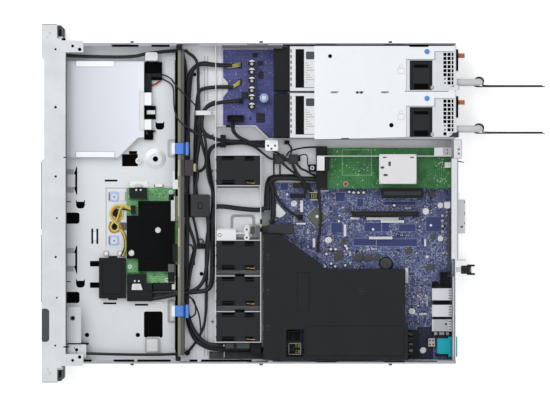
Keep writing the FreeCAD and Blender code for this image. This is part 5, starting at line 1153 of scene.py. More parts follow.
# steel fingers by the ferrite
shape.block((190.6, 193), (223.8, 225.2), (levels["pan"], 34), "cageSteel", 0.2)
shape.block((202, 209), (223.8, 225.2), (darkLaneTop, darkLaneTop + 6), "cageSteel", 0.2)
shape.block((11.5, 29), (275.8, 287.4), rise("pan", 3), "buttonPlastic", 0.4)  # blocks behind the empty slot
shape.block((29.6, 43), (275.8, 284.6), rise("pan", 4), "latchPlastic", 0.4)
shape.block((187.9, 204), (260, 275), (levels["pan"], 30), "blackPlastic", 0.8)  # block behind the ferrite
shape.block((29.6, 49.6), (266.8, 273), rise("pan", 0.3), "buttonPlastic", 0.05)  # marks on the slot's floor
shape.pad((31.6, 42.4), (259.6, 266.6), rise("pan", 0.7), "handlePlastic", 3, 0.1)
# gaps in the wall behind the empty slot, black as painted shade
for x in ((21.5, 28), (32.4, 38.6)):
    shape.block(x, (273.2, 275.8), rise("cage", 0.1), "blackFilm", 0.02)
shape.done("server")
leads("switch_wires", [[(31, 250, 8), (29.5, 258, 7), (28.5, 268, 6), (28, 275, 6), (29, 284, 8)],
                       [(33, 250, 8), (31, 259, 7), (30, 270, 6), (30, 284, 7)]], 0.9, "paleCream")
print("fans dressed")

# power board: capacitor lids, chips, sockets, cable clips and lead ends
powerParts = {
    "capacitors": ((-189, -178, -166, -153, -142.5, -131), 262, 24.3),
    "chips": [((-193, -187), (270, 277), 1.4), ((-179, -169), (271, 277.5), 1.6),
              ((-151, -142), (248, 256), 2.2),
              ((-122, -110), (268, 279), 2), ((-204, -198), (263, 270), 1.2), ((-117, -113), (259, 261), 1)],
}
shape = Shape("power_parts")
xs, y, z = powerParts["capacitors"]
for x in xs:
    shape.ring((x, y), (z - 3, z + 0.2), 5.5, 4.7, "plugBrown")
    shape.rod((x, y), (z, z + 0.3), 4.8, "blackPlastic", 0.2, 28)
    paintedGlint = [(x - 4.7 * math.cos(t), y + 4.7 * math.sin(t)) for t in (i * 0.13 - 1.04 for i in range(17))]
    shape.prism(paintedGlint, (z + 0.3, z + 0.6), "switchPlastic", 0.1)        # painted highlight: a white crescent of reflection on the can's rim
    shape.rod((x + 0.7, y), (z + 0.3, z + 0.5), 2.1, "processorLid", 0.1)
for x, y, high in powerParts["chips"]:
    shape.block(x, y, rise("power", high), "chipBlack", 0.3)
shape.prism([(-171, 222.9), (-144, 222.9), (-151.6, 229.4), (-163.8, 229.4)], rise("power", 0.5),
            "cageSteel", 0.1)                                            # pressed step of the cage floor
# socket and plugs of the power board
shape.tray((-119.5, -110.5), (228.5, 251), rise("power", 8), "blackPlastic")
shape.block((-192, -183), (244, 248), rise("power", 2), "blackPlastic", 0.3)
shape.block((-169, -160), (243.6, 247.6), rise("power", 2), "blackPlastic", 0.3)
shape.pad((-142, -135), (243, 250), rise("power", 7), "blackPlastic", 2)
shape.block((-105.6, -102.2), (227, 239.5), (30, levels["cage"] + 0.6), "blackPlastic", 0.6)
for x in ((-92.5, -87.6), (-81, -75.5)):                                 # cable clips
    shape.block(x, (219.5, 226.5), (levels["pan"], 27), "blackPlastic", 0.8)
shape.block((-89, -78), (219.5, 226.5), (26, 27.6), "blackPlastic", 0.8)
randomDraw = random.Random(5)
for _ in range(90):
    x, y = randomDraw.uniform(-206, -112), randomDraw.choice((randomDraw.uniform(226, 256),
                                                              randomDraw.uniform(268, 290)))
    long = randomDraw.random() < 0.5
    size = (1.8, 0.9) if long else (0.9, 1.8)
    look = randomDraw.choice(("boardInk", "chipNavy", "boardInk", "ceramicGrey"))
    shape.brick((x, x + size[0]), (y, y + size[1]), rise("power", 0.7), look)
shape.done("server")
powerWires = [[(-187.6 + 1.3 * i, 229, 12.5), (-187.2 + 1.2 * i, 235, 12.6), (-188.6 + 1.1 * i, 240, 11.5),
               (-191.4 + 1.9 * i, 246.5, 9)] for i in range(4)]
powerWires += [[(-159.6 + 1.3 * i, 229, 11.5), (-159.6 + 1.2 * i, 235, 11.8), (-162 + 1.1 * i, 240.5, 11),
                (-167.4 + 1.9 * i, 246, 9)] for i in range(4)]
leads("power_wires", powerWires, 0.9, "wireYellow")
shape = Shape("plunger_cap")
lowest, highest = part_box("release_plunger")
middle = ((lowest.x + highest.x) / 2 / mm, (lowest.y + highest.y) / 2 / mm)
shape.rod(middle, (highest.z / mm, highest.z / mm + 0.6), 4.8, "plungerBlue", 0.4, 28)
shape.rod(middle, (highest.z / mm + 0.6, highest.z / mm + 0.9), 3.2, "switchPlastic", 0.2, 28)
shape.done("release_plunger")

# bracket and plugs between the partition and the system board
shape = Shape("mid_bracket")
shape.prism(rounded((-85.8, -70.5), (280, 297.5), 2.5), (33, 34.2), "coverSteel", 0.3)
shape.block((-85.8, -84.8), (282, 295.5), (levels["pan"], 33.2), "coverSteel", 0.2)
for x, y in ((-77.5, 284), (-77.5, 293.4), (-73.4, 288.6)):
    shape.rod((x, y), (34.2, 34.3), 1.5, "latchPlastic", 0.02)
shape.done("server")
midPlugs = [((-66.2, -53.1), (292.3, 305.5)), ((-66.2, -53.1), (311.8, 324.9))]
shape = Shape("mid_plugs")
for x, y in midPlugs:
    shape.block(x, y, (levels["pan"], 22), "plugGrey", 0.5)
    shape.pad((x[0] + 2, x[1] - 2), (y[0] + 2, y[1] - 2), (22, 22.4), "plugGrey", 1, 0.2)
    shape.block((x[0] + 2.5, x[1] - 4), (y[1], y[1] + 2.8), (levels["pan"], 17), "blackPlastic", 0.4)
# small plug with a metal ring
shape.block((-52.6, -42.7), (338.8, 348.6), (levels["pan"], 19), "blackPlastic", 0.6)
shape.ring((-47.7, 343.8), (19, 19.6), 2.8, 1.5, "bareAluminium")
shape.block((-84.6, -80), (306, 313), (levels["pan"], 15), "blackPlastic", 0.6)
shape.done("server")
midCables = {
    3.2: [[(-60, 294, 21), (-59, 289, 23), (-64, 281, 21), (-72, 272, 18), (-79, 262, 17), (-81, 250, 16)],
          [(-59, 312.6, 21), (-60, 307, 24), (-66, 300, 23), (-73, 288, 20), (-79, 274, 19), (-83, 262, 19)],
          [(-54, 304, 18), (-48, 310, 19), (-42, 318, 18), (-36, 325, 17), (-28, 331, 14), (-18, 336, 10)],
          [(-54, 323, 17), (-48, 326, 20), (-44, 335, 20), (-38, 346, 18), (-36, 351, 16)],
          [(-56, 316, 21), (-50, 319, 21), (-43, 322, 20), (-34, 329, 17), (-24, 334, 12),
           (-13, 334.6, 10)]],
    2.4: [[(-82, 309, 15), (-78, 314.6, 16), (-72, 316, 18), (-66, 314.6, 20)],
          [(-64, 309, 20), (-69.8, 311, 20), (-73.4, 322, 19), (-76, 337, 18), (-76, 350, 17)],
          [(-66.5, 292, 20), (-68.6, 291.6, 17), (-62, 291.8, 14), (-48, 291.8, 12), (-36, 292, 11)],
          [(-52, 300, 16), (-48, 300.3, 14), (-37, 300, 10)],
          [(-62, 306.6, 22), (-58, 308.6, 23.6), (-56, 311, 22)]],
    1.6: [[(-64, 325, 18), (-66, 331, 17), (-66, 336, 16), (-62, 337.4, 15), (-52, 337.3, 14),
           (-48, 339.6, 14)]],
    6.8: [[(10, 283.6, 9), (-6, 284, 10), (-20, 283, 12), (-29, 284.6, 13), (-33.6, 291, 14),
           (-34.2, 304, 14), (-33.6, 322, 13), (-32.7, 340, 12), (-32.7, 350, 12)]],
    4.4: [[(-53, 317, 18), (-46, 320, 18.5), (-36, 326, 18), (-27, 333, 14), (-20, 340, 10),
           (-9.5, 345, 9)]],
}
for number, (diameter, routes) in enumerate(midCables.items()):
    leads("mid_cables_%d" % number, routes, diameter, "jacketBlack")

# power supplies: plain labels, vents, fan windows and rear flanges
supplyLabel = {"band": ((3.7, 55.7), (321, 332.5)), "sheet": ((5.5, 54), (333, 360)),
               "tag": ((7, 17.5), (335, 346.3)),
               "vents": ((522.2, 2.1), (527.7, 2.1), (532.4, 1.3)), "thick": 0.14}
for number in (1, 2):
    case = "psu_case_%d" % number
    left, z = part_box(case)[0].x / mm, levels["supply"]
    shape = Shape("supply_label_%d" % number)
    for key, look, radius in (("band", "labelBlack", 0.6), ("sheet", "labelWhite", 0.6)):
        x, y = supplyLabel[key]
        shape.pad((left + x[0], left + x[1]), y, (z, z + supplyLabel["thick"]), look, radius, 0.03)
    x, y = supplyLabel["tag"]
    shape.pad((left + x[0], left + x[1]), y, (z + 0.14, z + 0.2), "latchPlastic", 1.6, 0.02)
    shape.block((left + 55.2, left + 55.8), (321, 346), (z, z + 0.1), "labelBlack", 0.02)
    shape.prism([(left + 8, 508.8), (left + 59.6, 508.8), (left + 59.6, 523), (left + 53.6, 530),
                 (left + 52.6, 536.4), (left + 8, 536.4)], (z, z + 0.1), "psuSteel", 0.02)
    # vents drawn as black pads of painted shade in the openings
    for column, (y, wide) in enumerate(supplyLabel["vents"]):
        for row in range(9):
            size = 2.15 if column or row < 6 or row == 8 else 1.1
            if row < 8 or (number == 2 and not column):
                x = left + 10.8 + 5.5 * row
                shape.pad((x - size, x + size), (y - min(wide, size), y + min(wide, size)),
                          (z + 0.1, z + 0.13), "blackFilm", 0.4, 0.01)
    fan = top("psu_fan_%d" % number)
    # fan windows: black pads of painted shade either side of the hub
    for x in ((left + 24.4, left + 28.6), (left + 50.4, left + 57.6)):
        shape.pad(x, (480.5, 499.5), (fan, fan + 0.1), "blackFilm", 0.8, 0.02)
    shape.pad((left + 29.4, left + 49.6), (479, 501), (fan, fan + 0.2), "fanPlastic", 1.5, 0.1)
    shape.pad((left + 53, left + 58), (503, 508.4), (z, z + 0.15), "cageSteel", 2, 0.05)
    shape.ring((left + 55.5, 505.7), (z + 0.15, z + 0.2), 1.8, 1.2, "latchPlastic")
    shape.block((left + 4, left + 33), (537, 540.2), (z, z + 0.2), "blackFilm", 0.05)          # rear flange
    shape.prism([(left + 51.6, 540.2), (left + 54, 534), (left + 59.8, 526), (left + 59.8, 540.2)],
                (z + 0.1, z + 0.2), "plugGrey" if number == 2 else "psuSteel", 0.02)
    shape.pad((left + 52.6, left + 58.8), (538, 541.6), (36, 40), "gripPlastic", 1, 0.4)
    for i in range(7):                                                    # lances along the front edge
        shape.block((left + 4 + 7.6 * i, left + 8.4 + 7.6 * i), (314.2, 315.8),
                    (z, z + 0.1), "plugGrey", 0.02)
    for i in range(9):                                                    # plain rules on the sheet
        shape.block((left + 22 + 3.2 * i, left + 23 + 3.2 * i), (334.4, 337 + 3 * (i * 5 % 4)),
                    (z + 0.14, z + 0.17), "ceramicGrey", 0.01)
    shape.done("power_supply_%d" % number)

# marks, touch points and screws on the cover of the power supply bay
coverMarks = {
    "holes": [(-198, 367.5, 2.7), (-105, 450, 3)],
    "dots": [(-149, 404, 1.5), (-149, 409.5, 1.5)],
    "dashes": [(-149, 372.5), (-149, 440.5)],
    "touch": [(-204, 498), (-141, 498)], "supplies": (-211.2, -148.2),
    "locks": [(-178, 463), (-116, 463)],
}
shape = Shape("cover_marks")
z = levels["cover"]
# holes drawn as black discs of painted shade
for x, y, radius in coverMarks["holes"]:
    shape.rod((x, y), (z, z + 0.06), radius, "blackFilm", 0.01, 24)
    shape.ring((x, y), (z, z + 0.25), radius + 0.9, radius, "coverSteel")
for x, y, radius in coverMarks["dots"]:
    shape.rod((x, y), (z, z + 0.15), radius * 1.2, "plugGrey", 0.05)
shape.block((-150.4, -147.8), (405, 408.4), (z, z + 0.1), "hemSteel", 0.02)  # patch between the dots
for x, y in coverMarks["dashes"]:
    shape.pad((x - 1.1, x + 1.1), (y - 4.5, y + 4.5), (z, z + 0.2), "hemSteel", 0.9, 0.05)
    shape.pad((x - 0.4, x + 0.4), (y - 2.6, y + 2.6), (z + 0.2, z + 0.25), "barSteel", 0.3, 0.02)
shape.block((-87.8, -86.2), (382.6, 393), (z, z + 0.1), "plugGrey", 0.02)
shape.block((-151.3, -150.2), (468, 527), (z, z + 0.1), "handlePlastic", 0.02)  # painted shade in the gap between the supplies
for x, y in coverMarks["touch"]:
    shape.rod((x, y), (z, z + 0.4), 3.3, "bluePlastic", 0.2, 24)
    shape.ring((x, y), (z, z + 0.3), 3.9, 3.3, "paleBlue")
# folded edges round the window and the step
for left in coverMarks["supplies"]:
    shape.block((left + 17.2, left + 60), (469.8, 470.5), (z, z + 0.12), "hemSteel", 0.03)
    shape.block((left + 17.3, left + 17.9), (470, 505), (z, z + 0.12), "barSteel", 0.03)
    shape.block((left + 17.2, left + 18), (505, 509), (z, z + 0.2), "stepViolet", 0.05)
    shape.block((left + 6.6, left + 17.4), (508, 508.9), (z, z + 0.2), "stepViolet", 0.05)
    shape.block((left + 6.6, left + 7.4), (508.8, 535), (z, z + 0.12), "hemSteel", 0.03)
for x, y in coverMarks["locks"]:
    shape.rim((x - 4, x + 4), (y - 4.5, y + 4.5), (z, z + 0.08), "cageSteel", 0.7, (0.8, 0.6))
    shape.tube(rounded((x - 8.5, x - 4), (y - 2.6, y + 2.6), 2),
               rounded((x - 7.8, x - 4.5), (y - 1.9, y + 1.9), 1.4),
               (z, z + 0.08), "cageSteel")
shape.done("server")
print("power side dressed")

# system board: sockets, chips, strips and several hundred small parts
boardParts = {
    "strips": [((19, 22.5), (417.5, 461), 4.5), ((23, 26.5), (437, 468.5), 4.5), ((19, 22), (396, 408), 4),
               ((45.5, 49), (421, 452.5), 4.5), ((29, 45), (386.5, 390), 4.5), ((48, 60), (344.5, 348), 4.5),
               ((-4, 12), (327.5, 331.5), 4.5), ((26.5, 29), (322, 335), 3.5), ((49, 58.5), (496, 498.5), 4),
               ((88, 108), (470, 474), 6), ((-18, -16), (355, 366), 3)],
    "chips": [((65, 77), (374, 386), 1.6), ((69, 78), (400, 412), 1.4), ((69, 78), (414, 426), 1.4),
              ((69, 78), (428, 436.5), 1.4), ((8, 12.5), (386, 397), 1.2), ((21, 25), (376, 385), 1.2),
              ((-18, -8), (502, 511), 1.4), ((40, 49), (505, 511), 1.6), ((60, 68), (470, 479), 1.4),
              ((83, 91), (498, 508), 1.4), ((52, 57), (380, 389), 1.2)],
    "dark": [((19, 38), (499, 516.5), 2), ((27, 39.5), (370, 384), 1.2), ((27, 38), (415, 437), 1),
             ((27, 38), (439, 448), 1), ((29, 38), (462, 484), 1), ((-6, 4), (405, 413), 0.8),
             ((-14, -3), (376, 388), 0.8), ((48, 57), (400, 430), 0.5), ((49, 58), (432, 486), 0.5),
             ((-2, 2), (440, 484), 0.5), ((-27, -18), (301, 311), 0.6), ((46, 57), (492, 495), 0.5)],
    "boxes": [((93, 114), (517, 531), 10), ((15.6, 22.6), (324.4, 331.4), 6),
              ((131.8, 137.2), (508, 530), 9),
              ((153.9, 156.9), (508, 530), 9), ((106, 114), (506, 515), 7)],
    "caps": [(62.5, 369), (62.5, 375.5), (69, 363), (82, 369.5), (84.5, 388.5), (86, 361), (86, 375),
             (58, 389), (61.5, 391), (-15.5, 394), (-14.5, 400), (-14.5, 406.5), (-14.5, 413.5), (3, 455)],
    "lights": [(18, 350.5, 2.1, 2.6), (24.5, 380, 1.6, 1.6), (35.5, 426.5, 1.7, 1), (30, 505, 1.7, 2),
               (73, 500, 1.8, 0), (-12, 297, 1.7, 0), (-12, 310, 1.7, 0)],
    "posts": [(50, 366.3, 4.2), (0.7, 319, 4), (146.7, 478.4, 4)],
    "bridge": (19, 350, 19),                 # middle and side of the slanted chip
    "cell": (82, 444), }
shape = Shape("board_parts")
base = levels["board"]
for x, y, high in boardParts["strips"]:
    shape.block(x, y, (base, base + high), "switchPlastic", 0.4)
    shape.block((x[0] + 1.1, x[1] - 1.1), (y[0] + 1.1, y[1] - 1.1), (base + high, base + high + 0.1),
                "inkWhite", 0.02)
for x, y, high in boardParts["chips"]:
    shape.block(x, y, (base, base + high), "chipOlive", 0.25)
    shape.rod((x[0] + 1.3, y[0] + 1.3), (base + high, base + high + 0.03), 0.5, "inkWhite", 0.01, 8)
for x, y, high in boardParts["dark"]:
    shape.block(x, y, (base, base + high), "chipNavy", 0.2)
    shape.tube(corners(x, y, 0.8), corners(x, y, 0.3), (base, base + 0.08), "boardInk")
for x, y, high in boardParts["boxes"]:
    shape.tray(x, y, (base, base + high), "blackPlastic", 1.2, 3)
for x, y in boardParts["caps"]:
    shape.rod((x, y), (base, base + 4.5), 2.2, "bareAluminium", 0.6, 16)
    shape.block((x - 2.4, x + 2.4), (y - 2.4, y + 2.4), (base, base + 0.9), "chipBlack", 0.2)
for x, y, radius, up in boardParts["lights"]:
    shape.rod((x, y), (base + up, base + up + 0.5), radius, "switchPlastic", 0.2, 14)
# small white headers by the rear edge
for x in (17, 24, 31, 38.5):
    shape.rod((x, 520.6), (base, base + 3.4), 2.2, "ceramicGrey", 0.8)
    shape.block((x - 2.6, x + 2.6), (517.4, 523.6), (base, base + 1.2), "chipNavy", 0.2)
x, y, side = boardParts["bridge"]
slant = math.sqrt(0.5) * side
shape.prism([(x, y - slant), (x + slant, y), (x, y + slant), (x - slant, y)], (base, base + 2.6),
            "chipStone", 0.5)
for a, b in ((1, 1), (1, -1), (-1, 1), (-1, -1)):                        # printed edges round it
    shape.prism([(x + a * 1.5, y + b * (slant + 0.6)), (x + a * (slant + 0.6), y + b * 1.5),
                 (x + a * (slant + 1.2), y + b * 1.5), (x + a * 1.5, y + b * (slant + 1.2))],
                (base, base + 0.08), "inkWhite", 0.01)
for x, y, radius in boardParts["posts"]:
    shape.rod((x, y), (base, base + 2.4), radius, "switchPlastic", 0.6, 24)
    shape.ring((x, y), (base + 2.4, base + 2.5), radius * 0.55, radius * 0.4, "ceramicGrey")
# white bracket at the front edge
shape.prism([(1, 294.6), (18.5, 294.6), (20, 300), (18, 304.5), (13.5, 308.4), (1.5, 297.5)],
            (base, base + 2.4), "switchPlastic", 0.5)
shape.rod(boardParts["cell"], (base, base + 3), 9.4, "blackPlastic", 0.6, 28)     # coin cell in its holder
shape.rod(boardParts["cell"], (base + 3, base + 5), 8, "latchPlastic", 1.2, 28)
# white crescent
shape.prism([(11 + 4.6 * math.sin(t / 10), 498 - 4.6 * math.cos(t / 10)) for t in range(-14, 46, 4)],
            (base, base + 2), "switchPlastic", 0.4)
for y in (343.2, 346, 348.8):                                            # contact rows of the gold plug
    shape.block((-13.2, -5.8), (y - 0.6, y + 0.6), (base + 9, base + 9.4), "contactOlive", 0.1)
shape.block((-14.6, -14), (340.6, 351), (base, base + 9.6), "switchPlastic", 0.1)  # its pale sides
shape.block((-5, -4.2), (340.6, 351), (base, base + 9.6), "switchPlastic", 0.1)
# tops of the long sockets
for x, y, z in (((12.9, 16.1), (400, 456), 11), ((12.9, 16.1), (460, 485), 11),
                ((-16, -11), (441, 491), 19.3)):
    shape.block(x, y, (base + z, base + z + 0.1), "slotBrown" if x[0] > 0 else "plugGrey", 0.02)
shape.block((10, 100), (527.4, 530.6), (base, base + 4), "latchPlastic", 0.6)  # rail along the rear edge
shape.block((-27, -21.4), (318, 341), (base, base + 5), "slotBrown", 0.6)  # brown strip at the left edge
# ends of the memory sockets
shape.pad((172, 210), (473, 486.6), (base, base + 10), "blackPlastic", 1.2, 0.6)
for x in (176.6, 184.4, 192.2, 200):
    shape.block((x - 2.2, x + 1.4), (474.4, 479.4), (base + 10, base + 12), "ceramicGrey", 0.4)
    shape.block((x - 1.4, x + 2.2), (476.6, 477.8), (base + 12, base + 12.2), "contactOlive", 0.05)
# shaded board with a chip and a post
shape.block((168, 211.8), (486.6, 508), (base, base + 0.1), "boardShade", 0.02)
shape.pad((171, 177), (488, 492), (base + 0.1, base + 3), "chipBlack", 0.6)
shape.rod((199.4, 494.6), (base + 0.1, base + 3), 4, "switchPlastic", 0.8, 24)
shape.done("server")

scatter = {"seed": 23, "clusters": 260, "each": (4, 12), "area": ((-18, 88), (292, 528)),
           "tail": ((88, 165), (474, 506)),
           "prints": 70, "printField": ((-18, 86), (296, 526)), "printSize": (2, 9),
           "shares": {"boardInk": 8, "inkWhite": 2, "ceramicGrey": 2, "connectorTan": 1, "chipBlack": 3,
                      "chipNavy": 3}}
taken = [row[:2] for key in ("strips", "chips", "dark", "boxes") for row in boardParts[key]]
taken += [((-20, -7), (437, 494)), ((11, 18), (398, 488)), ((-14, -5), (340, 351)), ((-13, -7), (313, 335)),
          ((73, 91), (434, 454)), ((5, 33), (336, 364)), ((0, 20), (294, 309))]
randomDraw = random.Random(scatter["seed"])


def free(x, y, margin):
    if x > 41.5 + (y - 300) * 0.83 and y < 362:                          # slanted edge of the shroud
        return False
    return not any(a[0] - margin < x < a[1] + margin and b[0] - margin < y < b[1] + margin for a, b in taken)


shape = Shape("board_scatter")
kinds = [look for look, share in scatter["shares"].items() for _ in range(share)]
for cluster in range(scatter["clusters"]):
    area = scatter["tail"] if cluster % 6 == 0 else scatter["area"]
    x, y = randomDraw.uniform(*area[0]), randomDraw.uniform(*area[1])
    alongY = randomDraw.random() < 0.5
    step = randomDraw.uniform(1.5, 2.6)
    size = randomDraw.choice(((0.6, 1.1), (0.8, 1.6), (1.2, 2.2), (1.6, 2.6)))
    look = randomDraw.choice(kinds)
    for i in range(randomDraw.randint(*scatter["each"])):
        px = x + (0 if alongY else i * step) + randomDraw.uniform(-0.3, 0.3)
        py = y + (i * step if alongY else 0) + randomDraw.uniform(-0.3, 0.3)
        if randomDraw.random() < 0.3:
            px, py = x + randomDraw.gauss(0, 7), y + randomDraw.gauss(0, 7)
        inside = area[0][0] < px < area[0][1] and area[1][0] < py < area[1][1]
        if not inside or not free(px, py, 1.4):
            continue
        wide, long = size if alongY else size[::-1]
        shape.brick((px - long / 2, px + long / 2), (py - wide / 2, py + wide / 2),
                    (base, base + min(size)),
                    look if randomDraw.random() < 0.75 else randomDraw.choice(kinds))
# printed outlines and rules
for _ in range(scatter["prints"]):
    x, y = (randomDraw.uniform(*side) for side in scatter["printField"])
    wide, long = randomDraw.uniform(*scatter["printSize"]), randomDraw.uniform(*scatter["printSize"])
    if free(x, y, 3) and free(x + wide, y + long, 1) and x + wide < 88:
        spread = (x, x + wide), (y, y + long)
        shape.tube(corners(*spread), corners(*spread, -0.35), (base, base + 0.06), "boardInk")
shape.done("server")
leads("board_cable", [[(-20, 352, 20), (-12, 353.5, 17), (4, 354.5, 13), (18, 355.5, 11.5), (34, 355, 11),
                       (46, 352.5, 9), (58, 352, 8.2), (66, 351.5, 8)],
                      [(-26, 291, 12), (-16, 293.4, 11.6), (-8, 296.5, 11), (1, 302, 10.4), (8, 309, 10),
                       (15, 319, 10.6), (18.6, 326.6, 10)]], 3.4, "jacketBlack")
leads("board_lead", [[(-30, 284.6, 16), (-26, 288, 15), (-18, 290.4, 13), (-4, 291, 11), (12, 291, 10.4),
                      (22, 290.6, 10.4), (27, 287, 12)]], 5.4, "jacketBlack")
print("system board dressed")

# expansion card: printed lines, plate, clip and rear bracket
plateTop = top("expansion_bracket")
shape = Shape("card_fittings")
base = levels["card"]
# clip on the front lip
shape.block((-62.8, -44.2), (350.2, 360), (plateTop, plateTop + 0.4), "switchPlastic", 0.15)
shape.block((-62.8, -43.4), (360, 366.6), (plateTop, plateTop + 0.3), "blackPlastic", 0.1)
cardHole = (-26, 389)
shape.ring(cardHole, (base, base + 0.5), 3.9, 1.7, "ceramicTan")
shape.rod(cardHole, (base, base + 0.1), 1.7, "chipBlack", 0.01)
for x, y in (((-72.5, -72), (384, 424)), ((-38.2, -37.7), (384, 424)), ((-72, -38), (384, 384.5)),
             ((-72, -38), (423.5, 424))):
    shape.brick(x, y, (base, base + 0.06), "cardInk")
randomDraw = random.Random(31)
for _ in range(190):
    x, y = randomDraw.uniform(-73.5, -22), randomDraw.choice((randomDraw.uniform(366, 432),
                                                              randomDraw.uniform(508, 530)))
    if abs(x + 64) < 2 or math.dist((x, y), cardHole) < 6:
        continue
    size = randomDraw.choice(((0.9, 1.7), (1.7, 0.9), (1.2, 1.2), (0.6, 1.2)))
    look = randomDraw.choice(("cardInk", "cardInk", "inkWhite", "cardGreen", "cardGreen"))
    shape.brick((x, x + size[0]), (y, y + size[1]), (base, base + 0.7), look)
# raised plate with slots and a folded side
shape.pad((-66, -26.2), (433.6, 484), (plateTop, plateTop + 0.7), "ledgeSteel", 5, 0.3)
for x, y in (((-56, -50), (446, 449.4)), ((-49.5, -46.5), (435.4, 440.4)), ((-39.4, -36.4), (439.4, 445))):
    shape.pad(x, y, (plateTop + 0.7, plateTop + 0.75), "latchPlastic", 0.8, 0.01)
shape.block((-66, -63.4), (436, 482), (plateTop + 0.7, plateTop + 1.3), "ledgeSteel", 0.3)
for y in (441, 478):
    shape.pad((-62.6, -60.8), (y - 2.6, y + 2.6), (plateTop + 0.7, plateTop + 0.76), "barSteel", 0.8, 0.01)
# two plates at the rear, one with holes
shape.block((-74.8, -64.2), (508, 519.4), (plateTop, plateTop + 0.4), "portShell", 0.1)
shape.block((-74.8, -64.2), (519.6, 531.6), (plateTop, plateTop + 0.3), "hemSteel", 0.1)
for x in (-71.6, -67.4):
    shape.rod((x, 525.5), (plateTop + 0.3, plateTop + 0.4), 1, "chipBlack", 0.01, 10)
# white blocks at the rear
shape.pad((-55.4, -47.8), (522.6, 531.4), (base, base + 6), "switchPlastic", 1.5, 0.4)
shape.pad((-2, 7), (522.8, 531), rise("board", 9), "switchPlastic", 1.5, 0.4)
shape.done("server")

# air shroud: moulded marks that lift with it, plugs seen through its window
shape = Shape("shroud_marks")
z = top("air_shroud")
roof = z - 1.5
for x in (70, 117, 165):                                                  # a small moulded arrow per fan
    shape.prism([(x - 2.4, 282.5), (x + 2.4, 282.5), (x, 287.5)], (roof, roof + 0.4), "plugGrey", 0.1)
    shape.pad((x + 4.4, x + 6.2), (282.8, 286), (roof, roof + 0.3), "plugGrey", 0.5, 0.1)
shape.pad((28.6, 41.6), (283.4, 319.6), (24, 33), "plugGrey", 1.4, 1)      # arm that reaches over the board
shape.block((30, 44), (300, 304), (20, 32), "shroudPlastic", 0.6)
gate = (118.5, 409.5)                                                     # mark left by the mould
shape.ring(gate, (roof, roof + 0.4), 4.6, 3.9, "plugGrey")
shape.rod(gate, (roof, roof + 0.3), 1.2, "plugGrey", 0.1)
shape.done("air_shroud")
windowPlugs = {"dark": ((173, 187), (311.6, 328.6)), "pale": ((189, 205), (311.6, 328.6)), "top": 20.3}
shape = Shape("window_plugs")
z = windowPlugs["top"]
for key, look in (("dark", "plugGrey"), ("pale", "ceramicGrey")):
    x, y = windowPlugs[key]
    shape.rim(x, y, (z, z + 2.4), look, 1, (1.5, 1))
    for i in range(2):
        for j in range(4):
            spot = (x[0] + 4 + i * (x[1] - x[0] - 8), y[0] + 3.2 + j * 3.6)
            shape.block((spot[0] - 2.2, spot[0] + 2.2), (spot[1] - 1.2, spot[1] + 1.2), (z, z + 1),
                        "contactOlive" if key == "pale" and j > 1 else "blackPlastic", 0.3)
shape.done("server")
leads("window_leads", [[(176 + 3 * i, 326, 21), (177 + 2.4 * i, 320, 24), (178 + 2 * i, 313, 24),
                        (179 + 2 * i, 309, 18)]
                       for i in range(4)], 1.5, "jacketBlack")
leads("window_wires", [[(193, 323, 21), (195, 319, 23), (200, 315, 22), (203, 310, 17)],
                       [(201, 324, 21), (200, 319, 23.4), (197, 314, 22), (198, 310, 17)]],
      1.3, "jacketGrey")

# rear ports: plates and springs on the shells, serial port, wall above them and a pale header
portLefts = (115.3, 137.6, 157.3)
shell = 19.8                                                           # top of the port shells
shape = Shape("port_fittings")
for left in portLefts:
    shape.pad((left + 1, left + 15), (508, 513), (shell, 20), "bareAluminium", 0.8, 0.05)
    shape.pad((left + 3.4, left + 12.6), (519, 525), (shell, 20.1), "portShell", 0.8, 0.08)
shape.pad((157.6, 173), (507.8, 528), (20, 20.2), "shelfSteel", 0.8, 0.08)  # grey plate with a hole, its black disc painted shade
shape.rod((163.6, 524.6), (20.2, 20.3), 1.4, "blackFilm", 0.02)
shape.pad((184.6, 204), (515, 531), (18.8, 19.2), "tealPlastic", 2, 0.2)  # top of the serial port
for x in ((179.3, 183), (203.4, 207.7)):                               # dark flanks of the serial port
    shape.block(x, (511.4, 528), (levels["board"], 19), "blackPlastic", 0.2)
# dark block with three pads
shape.pad((173.4, 180), (507.4, 531), (levels["board"], 12), "blackPlastic", 0.8)
for y in ((509, 513.4), (515.6, 523), (525, 529.4)):
    shape.pad((174.4, 179), y, (12, 13), "hemSteel", 0.8)
for left in portLefts:                                     # spring fingers of the shells
    for i in range(4):
        shape.pad((left + 2 + 3.6 * i, left + 3.4 + 3.6 * i), (528.4, 531.4), (shell, 19.9),
                  "barSteel", 0.4, 0.02)
# wall above the ports
shape.block((99, 213.8), (532.4, 533), (shell, 30), "barSteel", 0.1)
shape.block((99, 213.8), (533, 535.4), (shell, 30.4), "cageSteel", 0.2)
shape.pad((183, 194.1), (500.9, 509.9), (16.3, 17.3), "ceramicGrey", 1, 0.3)  # pale header
for x in (186, 191.2):
    for y in (503.2, 507.6):
        shape.pad((x - 1.3, x + 1.3), (y - 1.2, y + 1.2), (17.3, 17.36), "latchPlastic", 0.5, 0.02)
shape.done("server")
flange, ledge = 41.6, 15.2                                             # tops of the rear panel's two folds
shape = Shape("rear_fittings")
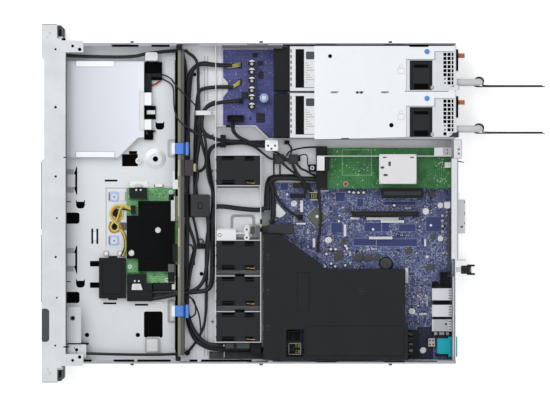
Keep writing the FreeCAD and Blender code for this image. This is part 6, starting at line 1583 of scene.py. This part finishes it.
# folded edges of the flange, darkened as painted shade of the wall's outer face
shape.block((-60, 74.6), (538.4, 540.2), (flange, flange + 0.05), "hemSteel", 0.02)
shape.rim((-85.8, -60.2), (531.4, 544.8), (flange, flange + 0.06), "hemSteel", 0.8, (0.6, 0.4))
for x in (-72.6, -66.7):                                               # screw heads on the flange
    shape.rod((x, 540.7), (40.7, 41.7), 1.7, "handlePlastic", 0.2, 16)
shape.rod((32, 546.4), (ledge, ledge + 0.1), 1.6, "latchPlastic", 0.03, 16)  # hole in the ledge
for x in (-1.5, 13.6, 27):                                             # notches along the ledge
    shape.pad((x - 1.2, x + 1.2), (549.6, 550.9), (ledge, ledge + 0.06), "barSteel", 0.4, 0.02)
# slanted clip
shape.prism([(-59, 534), (-56.6, 534), (-54.6, 548), (-55.6, 548)], (34, 38), "blackPlastic", 0.2)
shape.done("server")
shape = Shape("rear_latch_grip")
shape.pad((84.4, 95.6), (545, 554.6), (17, 27), "shroudPlastic", 1.4, 0.8)
for y in (547, 551.4):                                                 # finger slots
    shape.pad((86, 94), (y - 1, y + 1), (27, 27.1), "handlePlastic", 0.8, 0.03)
shape.pad((85, 95), (555.4, 558.6), (16, 28), "shroudPlastic", 0.8, 0.6)
shape.pad((87, 93), (556, 558), (28, 28.1), "ceramicGrey", 0.6, 0.03)
shape.done("rear_latch")
print("rear dressed")

# stage: pale floor, soft light, white background
studio = {"skyLight": 0.6, "keyPower": 12, "fillPower": 4, "floor": "F4F5F6", "floorLift": 0.46}


def setStudio():
    world = bpy.data.worlds.new("studio")
    bpy.context.scene.world = world
    n = Nodes(world)
    level = studio["skyLight"] + (1 - studio["skyLight"]) * n.seen()
    n.end("ShaderNodeOutputWorld", n.node("ShaderNodeBackground", None,
                                          {"Color": (1, 1, 1), "Strength": level}))
    for name, spot, size, power in (("keyLight", (-0.9, -0.5, 1.6), 1.2, studio["keyPower"]),
                                    ("fillLight", (0.9, 1.1, 1.5), 1.4, studio["fillPower"])):
        lamp = bpy.data.lights.new(name, "AREA")
        lamp.shape, lamp.size, lamp.energy = "SQUARE", size, power
        item = bpy.data.objects.new(name, lamp)
        item.location = spot
        item.rotation_euler = (Vector((0, 0.27, 0)) - Vector(spot)).to_track_quat("-Z", "Y").to_euler()
        bpy.context.collection.objects.link(item)


def setFloor():
    mesh = bpy.data.meshes.new("floor")
    far = 6
    mesh.from_pydata([(-far, -far, 0), (far, -far, 0), (far, far, 0), (-far, far, 0)], [], [(0, 1, 2, 3)])
    floor = bpy.data.objects.new("floor", mesh)
    floor.location = (0, 0, -0.0004)
    bpy.context.collection.objects.link(floor)
    material = bpy.data.materials.new("floorPale")
    n = Nodes(material)
    matt = n.node("ShaderNodeBsdfDiffuse", None, {"Color": tint(studio["floor"])})
    glow = n.node("ShaderNodeEmission", None, {"Strength": studio["floorLift"] * n.seen()})
    n.end("ShaderNodeOutputMaterial", n.node("ShaderNodeAddShader", None, {0: matt, 1: glow}))
    mesh.materials.append(material)


setStudio()
setFloor()
print("stage set")
